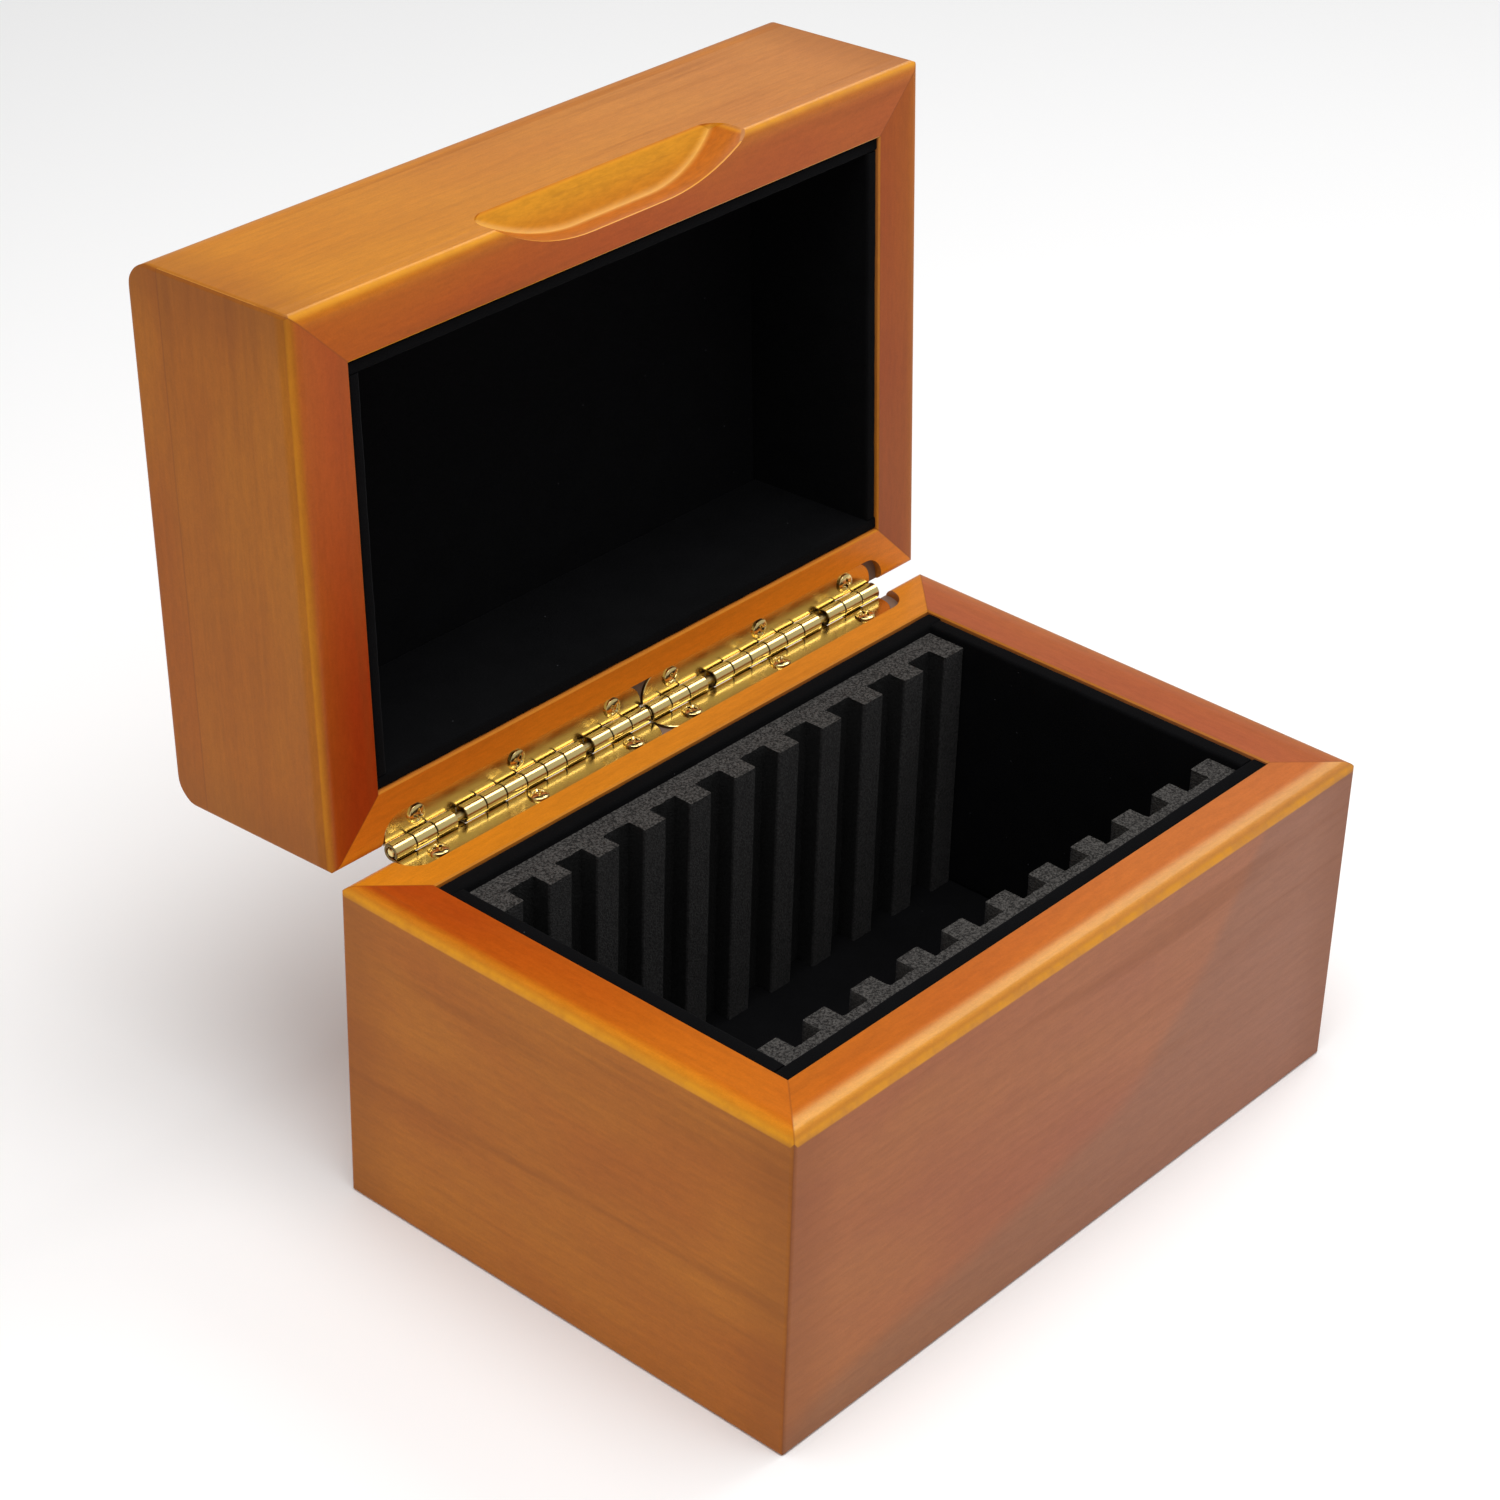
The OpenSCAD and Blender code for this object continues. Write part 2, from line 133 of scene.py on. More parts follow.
class WoodSettings(bpy.types.PropertyGroup):
    """Stain, grain and lacquer of the boards, with the reflection and highlights painted on them."""

    honey: colour("Honey stain", "Colour of the outer faces", (0.54, 0.200, 0.013))
    russet: colour("Russet stain", "Red brown that the stain drifts to", (0.36, 0.085, 0.008))
    rim: colour("Rim stain", "Deeper orange of the rims", (0.50, 0.125, 0.005))
    ruby: colour("Ruby stain", "Red that the rims drift to", (0.34, 0.036, 0.003))
    # Painted reflection: this mauve haze stands in for the lacquer reflecting the pale room
    haze: colour("Haze", "Mauve bloom of the lacquer on some boards", (0.40, 0.18, 0.150))
    olive: colour("Olive stain", "Duller brown low on the front", (0.27, 0.115, 0.030))
    rubbed: colour("Rubbed edge", "Lighter colour where the edges were sanded", (0.74, 0.30, 0.014))
    scoop: colour("Finger scoop", "Golden colour of the scoop's ceiling", (0.54, 0.22, 0.012))
    # Painted highlight: this pale gold lies on the scoop's bend and along the sanded edge of the base's front
    ridge_highlight: colour("Scoop ridge", "Pale gold of the bend between wall and ceiling", (0.80, 0.42, 0.075))
    scoop_wall: colour("Scoop wall", "Orange of the scoop's upright wall", (0.43, 0.112, 0.006))
    streak: colour("Grain streak", "Dark line of the grain", (0.20, 0.055, 0.010))
    bare: colour("Routed wood", "Greyish floor of the hinge recess", (0.20, 0.13, 0.095))
    ring_gap: length("Ring spacing", "Distance between two growth rings", 4.2)
    bend_w: length("Scoop bend", "Width of the bend between the scoop's wall and ceiling", 1.7)
    bend_h: length("Scoop fill", "How far that bend fills its corner", 0.40)
    gloss: share("Lacquer roughness", "Roughness of the clear coat", 0.28)
    coat: share("Lacquer strength", "Weight of the clear coat on the flat faces", 0.22)


class LiningSettings(bpy.types.PropertyGroup):
    """Black flock on the boards of the lining."""

    black: colour("Flock", "Colour of the flock", (0.0037, 0.0037, 0.0041))
    lint: colour("Lint", "Colour of the dust and lint caught in it", (0.07, 0.07, 0.075))
    edge_r: length("Edge radius", "Rounding of the lining's edges", 0.9)
    unevenness: length("Unevenness", "How far the flocked surface wanders", 0.1)


class FoamSettings(bpy.types.PropertyGroup):
    """Cut foam of the two racks."""

    charcoal: colour("Tooth faces", "Colour of the tooth faces", (0.029, 0.028, 0.028))
    sawn: colour("Sawn top", "Paler colour of the sawn top", (0.040, 0.0375, 0.035))
    # Painted shade: the black laid on the walls inside the slots
    slot: colour("Slots", "Black of the slot walls", (0.010, 0.010, 0.010))
    cell: length("Cell size", "Width of one open cell", 0.45)
    slots: IntProperty(name="Slots", description="Number of slots in each rack", default=10, min=1)
    slot_w: length("Slot width", "Width of one slot", 8.7)
    slot_depth: length("Slot depth", "How deep a slot is cut", 5.4)
    raggedness: length("Raggedness", "How far the cut at a slot's root wanders", 0.35)


class BrassSettings(bpy.types.PropertyGroup):
    """Polished brass of the strip hinges, their pins and screws."""

    brass: colour("Brass", "Colour of the polished brass", (0.86, 0.67, 0.28))
    tarnish: colour("Tarnish", "Darker film near the edges", (0.66, 0.46, 0.17))
    # Painted shade: the dark colour laid on faces that look along the pin, for the shade in the gaps between
    # knuckles
    knuckle_gap_shade: colour("Crevice", "Dark film on the ends of the knuckles", (0.07, 0.035, 0.012))
    leaf_t: length("Leaf thickness", "Thickness of the sheet brass", 0.8)
    leaf_corner_r: length("Leaf corner radius", "Rounding of the leaf's front corners", 6.0)
    pin_gap: length("Bare pin", "Length of each stretch of bare pin", 2.7)
    polish: share("Roughness", "Roughness of the polish", 0.16)


class StageSettings(bpy.types.PropertyGroup):
    """Floor, lights and camera."""

    floor: colour("Floor", "Colour of the plain floor", (0.98, 0.98, 0.98))
    sky: share("Surroundings", "Brightness of the pale room", 0.5)
    key: power("Key light", "Power of the large soft light", 9.0)
    side: power("Side light", "Power of the soft light at the right", 4.0)
    lens: FloatProperty(name="Lens", description="Focal length in millimetres", default=90.76, min=1.0)
    distance: length("Camera distance", "From the target", 990.94)


# Shader building


class Finish:
    """A node material with one Principled shader; its methods add nodes and return their sockets."""

    def __init__(self, name, **sockets):
        self.material = bpy.data.materials.new(name)
        self.material.use_nodes = True
        self.tree = self.material.node_tree
        self.tree.nodes.clear()
        output = self.tree.nodes.new("ShaderNodeOutputMaterial")
        self.shader = self.tree.nodes.new("ShaderNodeBsdfPrincipled")
        self.tree.links.new(self.shader.outputs["BSDF"], output.inputs["Surface"])
        self.feed_shader(**sockets)

    def feed(self, socket, value):
        if isinstance(value, bpy.types.NodeSocket):
            self.tree.links.new(value, socket)
        elif socket.type == "RGBA" and len(value) == 3:
            socket.default_value = (*value, 1.0)
        else:
            socket.default_value = value

    def feed_shader(self, **sockets):
        """Feeds the shader's sockets, each named in small letters with underscores."""
        for name, value in sockets.items():
            self.feed(self.shader.inputs[name.replace("_", " ").title().replace("Ior", "IOR")], value)

    def node(self, kind, settings, sockets):
        made = self.tree.nodes.new("ShaderNode" + kind)
        for name, value in settings.items():
            setattr(made, name, value)
        for index, value in sockets.items():
            self.feed(made.inputs[index], value)
        return made

    def math(self, operation, first, second=0.0, clamp=False):
        settings = {"operation": operation, "use_clamp": clamp}
        return self.node("Math", settings, {0: first, 1: second}).outputs[0]

    def plus(self, first, second, clamp=False):
        return self.math("ADD", first, second, clamp)

    def minus(self, first, second, clamp=False):
        return self.math("SUBTRACT", first, second, clamp)

    def times(self, first, second):
        return self.math("MULTIPLY", first, second)

    def apart(self, first, second):
        """How far two values lie apart."""
        return self.math("ABSOLUTE", self.minus(first, second))

    def vector(self, operation, first, second):
        return self.node("VectorMath", {"operation": operation}, {0: first, 1: second}).outputs[0]

    def mix(self, factor, first, second, blend="MIX"):
        settings = {"data_type": "RGBA", "blend_type": blend}
        return self.node("Mix", settings, {0: factor, 6: first, 7: second}).outputs[2]

    def span(self, value, low, high, to_low=0.0, to_high=1.0):
        """Smooth step from to_low to to_high as the value goes from low to high."""
        settings = {"interpolation_type": "SMOOTHSTEP"}
        return self.node("MapRange", settings, {0: value, 1: low, 2: high, 3: to_low, 4: to_high}).outputs[0]

    def span_mm(self, value, low, high, to_low=0.0, to_high=1.0):
        """The same for a length in metres, with low and high in millimetres."""
        return self.span(value, low * MM, high * MM, to_low, to_high)

    def shaded(self, tone, shade):
        """The tone times a shade of grey, a number or a socket."""
        is_socket = isinstance(shade, bpy.types.NodeSocket)
        grey = self.combine(shade, shade, shade) if is_socket else (shade,) * 3
        return self.mix(1.0, tone, grey, "MULTIPLY")

    def noise(self, vector, size, detail=3.0, roughness=0.55):
        """Noise from 0 to 1 whose features are about size millimetres across."""
        sockets = {"Vector": vector, "Scale": 1.0 / (size * MM), "Detail": detail, "Roughness": roughness}
        return self.node("TexNoise", {}, sockets).outputs[0]

    def streaky(self, vector, shrink, size, detail, roughness):
        """Noise drawn out along X, which is shrunk to that share."""
        return self.noise(self.vector("MULTIPLY", vector, (shrink, 1.0, 1.0)), size, detail, roughness)

    def coordinates(self, on_lid):
        """Position in metres and normal, both in the frame of the closed case."""
        source = self.tree.nodes.new("ShaderNodeTexCoord")
        if not on_lid:
            return source.outputs["Object"], source.outputs["Normal"]
        turned = LID_OPEN.inverted()
        angles = turned.to_euler()
        place = {0: source.outputs["Object"], 1: turned.translation, 2: angles}
        position = self.node("Mapping", {"vector_type": "POINT"}, place).outputs[0]
        turn = {0: source.outputs["Normal"], 2: angles}
        return position, self.node("Mapping", {"vector_type": "NORMAL"}, turn).outputs[0]

    def split(self, vector):
        return self.node("SeparateXYZ", {}, {0: vector}).outputs

    def combine(self, x, y, z):
        return self.node("CombineXYZ", {}, {0: x, 1: y, 2: z}).outputs[0]

    def bump(self, height, depth, strength=1.0, over=None):
        """Bump of that depth in millimetres, on top of another one where that is given."""
        sockets = {"Height": height, "Distance": depth * MM, "Strength": strength}
        if over:
            sockets["Normal"] = over
        return self.node("Bump", {}, sockets).outputs[0]

    def give(self, piece):
        piece.data.materials.clear()
        piece.data.materials.append(self.material)


# Mesh building, in millimetres


def make_piece(name, shape, node, finish, place=Matrix.Identity(4), sharp_angle=35.0):
    """A finished mesh in place of a CAD node, on its body; it is smooth up to the sharp angle.

    The shape's points are in millimetres, and with the place they lie in the closed case.
    """
    points, faces = shape
    body = frame["nodes"][node]["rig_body"]
    mesh = bpy.data.meshes.new(name)
    mesh.from_pydata([Vector(point) * MM for point in points], [], faces)
    built = bmesh.new()
    built.from_mesh(mesh)
    bmesh.ops.recalc_face_normals(built, faces=built.faces)
    for face in built.faces:
        face.smooth = True
    for edge in built.edges:
        edge.smooth = len(edge.link_faces) == 2 and edge.calc_face_angle(0.0) < math.radians(sharp_angle)
    built.to_mesh(mesh)
    built.free()
    piece = bpy.data.objects.new(name, mesh)
    bpy.context.scene.collection.objects.link(piece)
    piece.matrix_world = LID_OPEN @ place if body == "lid" else place
    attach(piece, body)
    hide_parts(node)
    finish.give(piece)
    return piece


def loft(rings, closed_ends=True):
    """Points and faces of a tube through rings of equal length."""
    count = len(rings[0])
    points = [point for ring in rings for point in ring]
    faces = []
    for row in range(len(rings) - 1):
        for i in range(count):
            a = row * count + i
            b = row * count + (i + 1) % count
            faces.append((a, b, b + count, a + count))
    if closed_ends:
        faces.append(tuple(reversed(range(count))))
        faces.append(tuple(range(len(points) - count, len(points))))
    return points, faces


def loft_to_tips(rings, first_tip, last_tip):
    """The tube through rings round Z, closed at each end by a fan to a tip at that height."""
    points, faces = loft(rings, closed_ends=False)
    count = len(rings[0])
    for first, height in ((0, first_tip), (len(points) - count, last_tip)):
        tip = len(points)
        points.append((0.0, 0.0, height))
        faces += [(first + i, first + (i + 1) % count, tip) for i in range(count)]
    return points, faces


def turned_ring(radii, z):
    """Ring round Z at one height, with a radius for each of its points."""
    turns = [math.tau * i / len(radii) for i in range(len(radii))]
    return [(r * math.cos(turn), r * math.sin(turn), z) for r, turn in zip(radii, turns)]


def join_shapes(shapes):
    """One list of points and faces from several."""
    points, faces = [], []
    for more_points, more_faces in shapes:
        offset = len(points)
        points += more_points
        faces += [tuple(index + offset for index in face) for face in more_faces]
    return points, faces


def arc(centre, radius, start, end, steps):
    """Points of an arc between two angles in degrees."""
    angles = [math.radians(start + (end - start) * i / steps) for i in range(steps + 1)]
    return [(centre[0] + radius * math.cos(a), centre[1] + radius * math.sin(a)) for a in angles]


def along(start, end, step):
    """Evenly spaced values from start to end, about a step apart."""
    count = max(1, round(abs(end - start) / step))
    return [start + (end - start) * i / count for i in range(count + 1)]


def wander(point, size, seed):
    """Smooth noise vector with features of that size in millimetres."""
    return noise.noise_vector(Vector(point) / size + Vector((seed, seed * 1.7, seed * 2.3)))


# Wood

# For each board: its grain's axis, a seed, how russet it is, pairs of shares for the painted reflection haze,
# ruby and the rim's painted reflection haze from its low end to its high end, and how deep the face and the
# rim are; on the lid's back board the rim's value, above 1, is painted light. edge_coat is the lacquer of the
# side that sanding has domed, and dome that side's width and depth in millimetres. rub gives the shares of
# rubbed colour at the rim's outer and inner edge, wear the share on the rounded edge, and band the slopes over
# which that last share fades.
Board = namedtuple(
    "Board",
    "axis seed russet haze ruby rim_haze depth rim_depth edge_coat rub wear band dome",
    defaults=(0.22, (0.22, 0.00), 0.90, (0.55, 0.985), (6.0, 0.8)),
)
BOARDS = {
    "base_front_board": Board(
        "X", 1.0, 0.72, (0.26, 0.50), (0.08, 0.00), (0.00, 0.16), 0.94, 1.00,
        edge_coat=0.42, rub=(0.45, 0.00), wear=1.00, dome=(8.0, 2.6),
    ),
    "base_back_board": Board(
        "X", 2.0, 0.60, (0.05, 0.10), (0.10, 0.00), (0.00, 0.06), 1.00, 1.02,
        edge_coat=0.18, rub=(0.50, 0.42),
    ),
    "base_left_board": Board(
        "Y", 3.0, 0.60, (0.04, 0.04), (0.05, 0.78), (0.00, 0.00), 1.00, 1.01,
        edge_coat=0.10, rub=(0.45, 0.00), wear=1.00,
    ),
    "base_right_board": Board(
        "Y", 4.0, 0.60, (0.20, 0.10), (0.30, 0.34), (0.20, 0.22), 1.00, 0.88, edge_coat=0.35
    ),
    "base_bottom_panel": Board("X", 5.0, 0.70, (0.10, 0.10), (0.50, 0.50), (0.10, 0.10), 0.80, 0.80),
    "lid_front_board": Board(
        "X", 6.0, 0.08, (0.00, 0.26), (0.40, 0.30), (0.00, 0.12), 0.94, 1.00,
        edge_coat=0.55, dome=(7.0, 2.1),
    ),
    # Painted light: its rim value of 1.42 brightens this board's rim strip
    "lid_back_board": Board(
        "X", 7.0, 0.50, (0.05, 0.05), (0.30, 0.00), (0.00, 0.00), 1.00, 1.42,
        edge_coat=0.18, rub=(0.30, 0.16),
    ),
    "lid_left_board": Board(
        "Y", 8.0, 0.58, (0.00, 0.00), (0.62, 0.95), (0.04, 0.00), 0.96, 0.96,
        edge_coat=0.08, rub=(0.04, 0.00), wear=0.36, band=(0.25, 0.70),
    ),
    "lid_right_board": Board("Y", 9.0, 0.50, (0.15, 0.05), (0.42, 0.42), (0.03, 0.14), 1.00, 0.82),
    "lid_top_panel": Board("X", 10.0, 0.22, (0.00, 0.12), (0.50, 0.50), (0.00, 0.00), 0.97, 0.90),
}
PANEL_END_RUSSET = 0.48

# Growth rings, in millimetres: where the trunk's axis lies across and behind the board, how much the first
# differs between boards, and how far and over what length the rings sway
TRUNK_ACROSS = 28.0
TRUNK_BEHIND = 55.0
TRUNK_VARIES = 9.0
RING_SWAY = 22.0
RING_SWAY_L = 26.0
LATE_WOOD = 0.90

# Soft boundary on the base's front, mauve above and olive below: its height in millimetres at the middle, its
# slope, the place right of the middle where it curves up and how steeply, and how far blotches move it
OLIVE_H = 33.0
OLIVE_SLOPE = 0.22
OLIVE_CURVE_X = 10.0
OLIVE_CURVE = 3.6
OLIVE_WANDER = 10.0

# Finger scoop in the lid's front board, in millimetres
SCOOP_DEPTH = 8.6
SCOOP_H = 11.9
SCOOP_WALL_H = 6.1
SCOOP_L = 82.0
SCOOP_FLAT_L = 24.0


# A point of a board: its position and distances in metres, its normal's sizes, and how far it faces the rim
Spot = namedtuple("Spot", "x y z nx ny nz rim_side is_rim upward to_end to_front inward")


def find_spot(finish, position, normal, on_lid):
    """The spot at a position of the closed case; inward is the distance from its outline seen from above."""
    x, y, z = finish.split(position)
    facing = finish.split(normal)[2]
    sizes = [finish.math("ABSOLUTE", part) for part in finish.split(normal)]
    rim_side = finish.times(facing, -1.0) if on_lid else facing
    is_rim = finish.span(rim_side, 0.55, 0.99)
    upward = finish.minus(z, LID_RIM_Z * MM)
    to_end = finish.minus(HALF_W * MM, finish.math("ABSOLUTE", x))
    to_front = finish.minus(HALF_D * MM, finish.math("ABSOLUTE", y))
    inward = finish.math("MINIMUM", to_end, to_front)
    return Spot(x, y, z, *sizes, rim_side, is_rim, upward, to_end, to_front, inward)


def grain_coordinates(finish, board, spot):
    """Position as (along the grain, across it, into the board)."""
    if board is BOARDS["lid_top_panel"]:
        lengthwise = finish.combine(spot.x, spot.y, spot.z)
        endwise = finish.combine(spot.y, spot.z, spot.x)
        return finish.mix(on_panel_end(finish, spot), lengthwise, endwise)
    if board.axis == "X":
        return finish.combine(spot.x, spot.z, spot.y)
    return finish.combine(spot.y, spot.z, spot.x)


def on_panel_end(finish, spot):
    """1 where the lid's top panel shows its short ends."""
    return finish.math("GREATER_THAN", spot.nx, 0.7)


def growth_rings(finish, grain, seed, ring_gap):
    """Late wood lines from 0 to 1: distorted rings round a trunk axis outside the board."""
    slow = finish.vector("MULTIPLY", grain, (0.12, 1.0, 1.0))
    shift = finish.vector("ADD", slow, (seed * 0.31, seed * 0.17, seed * 0.23))
    sway = finish.times(finish.noise(shift, RING_SWAY_L, 2.0), RING_SWAY * MM)
    trunk = (0.0, (TRUNK_ACROSS + TRUNK_VARIES * math.sin(seed * 5.0)) * MM, TRUNK_BEHIND * MM)
    _, across, into = finish.split(finish.vector("ADD", grain, trunk))
    squared = finish.plus(finish.times(across, across), finish.times(into, into))
    radius = finish.plus(finish.math("SQRT", squared), sway)
    phase = finish.math("FRACT", finish.math("DIVIDE", radius, ring_gap))
    rise = finish.span(phase, 0.30, LATE_WOOD)
    return finish.times(rise, finish.span(phase, LATE_WOOD, 1.0, 1.0, 0.0))


def olive_share(finish, spot, blotch):
    """How olive the base's front is: nothing above the soft slanting boundary, most below it."""
    right = finish.math("MAXIMUM", finish.minus(spot.x, OLIVE_CURVE_X * MM), 0.0)
    curve = finish.math("POWER", finish.times(right, OLIVE_CURVE), 2.0)
    line = finish.plus(finish.times(spot.x, OLIVE_SLOPE), curve)
    wavy = finish.plus(spot.z, finish.times(blotch, OLIVE_WANDER * MM))
    height = finish.minus(wavy, finish.plus(line, OLIVE_H * MM))
    return finish.span_mm(height, -5.0, 5.0, 0.75, 0.0)


def stain_and_painted_light(finish, settings, board, spot, blotch):
    """Stain of faces and rims: it drifts from end to end, in blotches and across the rim. A painted reflection
    haze lies over it, the rim's value paints light on the lid's back rim, and the base's front gets a painted
    highlight band.
    """
    run, reach = (spot.x, HALF_W) if board.axis == "X" else (spot.y, HALF_D)
    end_share = finish.span_mm(run, -reach, reach)

    def drift(pair):
        return finish.plus(finish.times(end_share, pair[1] - pair[0]), pair[0])

    uneven = finish.span(blotch, 0.30, 0.72, -0.16, 0.16)
    russet = finish.plus(uneven, board.russet, clamp=True)
    if board is BOARDS["lid_top_panel"]:
        ends = finish.times(on_panel_end(finish, spot), PANEL_END_RUSSET)
        russet = finish.plus(russet, ends, clamp=True)
    face = finish.mix(russet, settings.honey, settings.russet)
    if board is BOARDS["base_front_board"]:
        face = finish.mix(olive_share(finish, spot, blotch), face, settings.olive)
    # Painted reflection: the mauve haze stands in for the lacquer reflecting the room
    face = finish.mix(drift(board.haze), face, settings.haze)

    inner_side = finish.span_mm(spot.inward, 3.0, 12.0, -0.06, 0.10)
    ruby = finish.plus(finish.plus(uneven, inner_side), drift(board.ruby), clamp=True)
    rim = finish.mix(ruby, settings.rim, settings.ruby)
    rim = finish.mix(finish.span_mm(spot.inward, 1.5, 4.8, *board.rub), rim, settings.rubbed)
    if board is BOARDS["base_front_board"]:
        # Painted highlight: a pale gold band along its sanded edge, where it would catch the light
        from_highlight_band = finish.apart(spot.inward, 3.6 * MM)
        rim = finish.mix(finish.span_mm(from_highlight_band, 0.3, 3.4, 0.55, 0.0), rim, settings.ridge_highlight)
    # Painted reflection on the rim too
    rim = finish.mix(drift(board.rim_haze), rim, settings.haze)
    # The rim's value is partly painted light: on the lid's back board it brightens the rim
    return finish.mix(spot.is_rim, finish.shaded(face, board.depth), finish.shaded(rim, board.rim_depth))


def grained(finish, settings, surface, grain, seeded, seed):
    """Bands, sparse streaks and flecks on the stain; also returns the fleck, streak and ring values."""
    fleck = finish.streaky(seeded, 0.28, 1.1, 4.0, 0.65)
    fibre = finish.streaky(seeded, 0.05, 0.8, 3.0, 0.6)
    bands = finish.streaky(seeded, 0.08, 12.0, 3.0, 0.5)
    streaks = finish.streaky(seeded, 0.045, 7.0, 3.5, 0.6)
    speckle = finish.noise(seeded, 0.45, 2.0, 0.7)
    rings = growth_rings(finish, grain, seed, settings.ring_gap)
    surface = finish.mix(finish.span(bands, 0.42, 0.80, 0.0, 0.12), surface, settings.streak)
    surface = finish.mix(finish.span(streaks, 0.57, 0.72, 0.0, 0.28), surface, settings.streak)
    surface = finish.mix(finish.times(rings, 0.07), surface, settings.streak)
    coarse = finish.span(fleck, 0.30, 0.70, -0.055, 0.055)
    shade = finish.plus(coarse, finish.span(fibre, 0.3, 0.7, -0.03, 0.03))
    shade = finish.plus(shade, finish.span(speckle, 0.25, 0.75, 0.945, 1.055))
    return finish.shaded(surface, shade), fleck, streaks, rings


def rubbed_edges(finish, settings, board, spot, surface, patches):
    """Sanding shows on the rounded outer edges and less on the inner ones; upright corners are darker."""
    fading = finish.span(spot.rim_side, *board.band, 1.0, 0.0)
    rounded = finish.times(finish.span(spot.rim_side, 0.03, 0.22), fading)
    outer = finish.span_mm(spot.inward, 4.0, 6.0, 1.0, 0.45)
    patchy = finish.span(patches, 0.25, 0.70, 0.6 * board.wear, board.wear)
    worn = finish.times(finish.times(rounded, outer), patchy)
    surface = finish.mix(worn, surface, settings.rubbed)
    from_corner = finish.math("MAXIMUM", spot.to_end, spot.to_front)
    corner = finish.span(finish.times(spot.nx, spot.ny), 0.05, 0.48)
    corner = finish.times(corner, finish.math("LESS_THAN", from_corner, 8.0 * MM))
    near_corner = finish.span_mm(from_corner, 1.0, 20.0, 0.32, 0.0)
    upright = finish.times(near_corner, finish.span(spot.nz, 0.10, 0.60, 1.0, 0.0))
    dark = finish.math("MAXIMUM", upright, finish.times(corner, 0.42))
    return finish.mix(dark, surface, settings.streak)


def joint_lines(finish, node, spot):
    """Fine line of the mitre, and of the seam under the lid's top panel."""
    mitre = finish.span_mm(finish.apart(spot.to_end, spot.to_front), 0.08, 0.45, 0.38, 0.0)
    if not node.startswith("lid"):
        return mitre
    seam = finish.span_mm(finish.apart(spot.z, LID_SEAM_Z * MM), 0.05, 0.40, 1.0, 0.0)
    seam = finish.times(seam, finish.span(spot.nx, 0.3, 0.7, 0.08, 0.40))
    return seam if node == "lid_top_panel" else finish.math("MAXIMUM", mitre, seam)


def scoop_share(finish, spot):
    """1 in the finger scoop of the lid's front board, 0 on its rounded edge."""
    deep = finish.span_mm(finish.math("MINIMUM", spot.to_front, spot.upward), 0.1, 0.7)
    off_edge = finish.span_mm(finish.plus(spot.to_front, spot.upward), 2.4, 3.0)
    in_board = finish.math("LESS_THAN", spot.to_front, 0.75 * BOARD_T * MM)
    return finish.times(finish.times(deep, off_edge), in_board)


def scoop_bend(finish, spot, bend_w):
    """From 0 to 1 where the scoop's wall, an arc seen from above, bends over into its sloping ceiling."""
    reach = (SCOOP_L - SCOOP_FLAT_L) / 2.0
    radius = (reach**2 + SCOOP_DEPTH**2) / (2.0 * SCOOP_DEPTH)
    past = finish.minus(finish.math("ABSOLUTE", spot.x), SCOOP_FLAT_L / 2.0 * MM)
    past = finish.math("MAXIMUM", past, 0.0)
    squared = finish.minus((radius * MM) ** 2, finish.times(past, past))
    wall = finish.plus(finish.math("SQRT", squared), (SCOOP_DEPTH - radius) * MM)
    slope = (SCOOP_H - SCOOP_WALL_H) / SCOOP_DEPTH
    ceiling = finish.minus(SCOOP_H * MM, finish.times(spot.to_front, slope))
    below_ceiling = finish.minus(ceiling, spot.upward)
    off_wall = finish.minus(wall, spot.to_front)
    distance = finish.math("MAXIMUM", below_ceiling, off_wall)
    near = finish.minus(1.0, finish.math("DIVIDE", distance, bend_w), clamp=True)
    return finish.times(near, near)


def scooped(finish, settings, spot, surface, grain, fleck):
    """The board's surface with the finger scoop's; also returns its share and its bend, for the lacquer."""
    in_scoop = scoop_share(finish, spot)
    golden = finish.mix(finish.span(spot.nz, 0.3, 0.6), settings.scoop_wall, settings.scoop)
    golden = finish.mix(finish.span_mm(spot.to_front, 2.0, 7.5, 0.0, 0.45), golden, settings.scoop_wall)
    vessels = finish.streaky(grain, 0.06, 1.9, 4.0, 0.65)
    golden = finish.mix(finish.span(vessels, 0.53, 0.78, 0.0, 0.36), golden, settings.streak)
    golden = finish.shaded(golden, finish.span(fleck, 0.30, 0.70, 0.90, 1.10))
    surface = finish.mix(in_scoop, surface, golden)

    # Rubbed lines along the lower and the upper lip, and a painted highlight in pale gold along the ridge of
    # the bend
    lower = finish.span_mm(spot.upward, 0.3, 0.7, 0.75, 0.0)
    lower = finish.times(lower, finish.math("GREATER_THAN", spot.ny, 0.5))
    lower = finish.times(lower, finish.math("GREATER_THAN", spot.to_front, 1.8 * MM))
    surface = finish.mix(lower, surface, settings.rubbed)
    upper = finish.times(finish.span_mm(spot.to_front, 0.3, 1.1, 0.65, 0.0), in_scoop)
    surface = finish.mix(upper, surface, settings.rubbed)
    bend = finish.times(scoop_bend(finish, spot, settings.bend_w), in_scoop)
    return finish.mix(finish.times(bend, 0.55), surface, settings.ridge_highlight), in_scoop, bend


def routed_share(finish, spot, on_lid):
    """1 on the floor of the hinge recess."""
    below = spot.upward if on_lid else finish.minus(LID_RIM_Z * MM, spot.z)
    sunk = finish.span_mm(below, 1.3, 1.8)
    near_rim = finish.math("LESS_THAN", below, 4.0 * MM)
    return finish.times(finish.times(sunk, near_rim), finish.span(spot.rim_side, 0.80, 0.95))


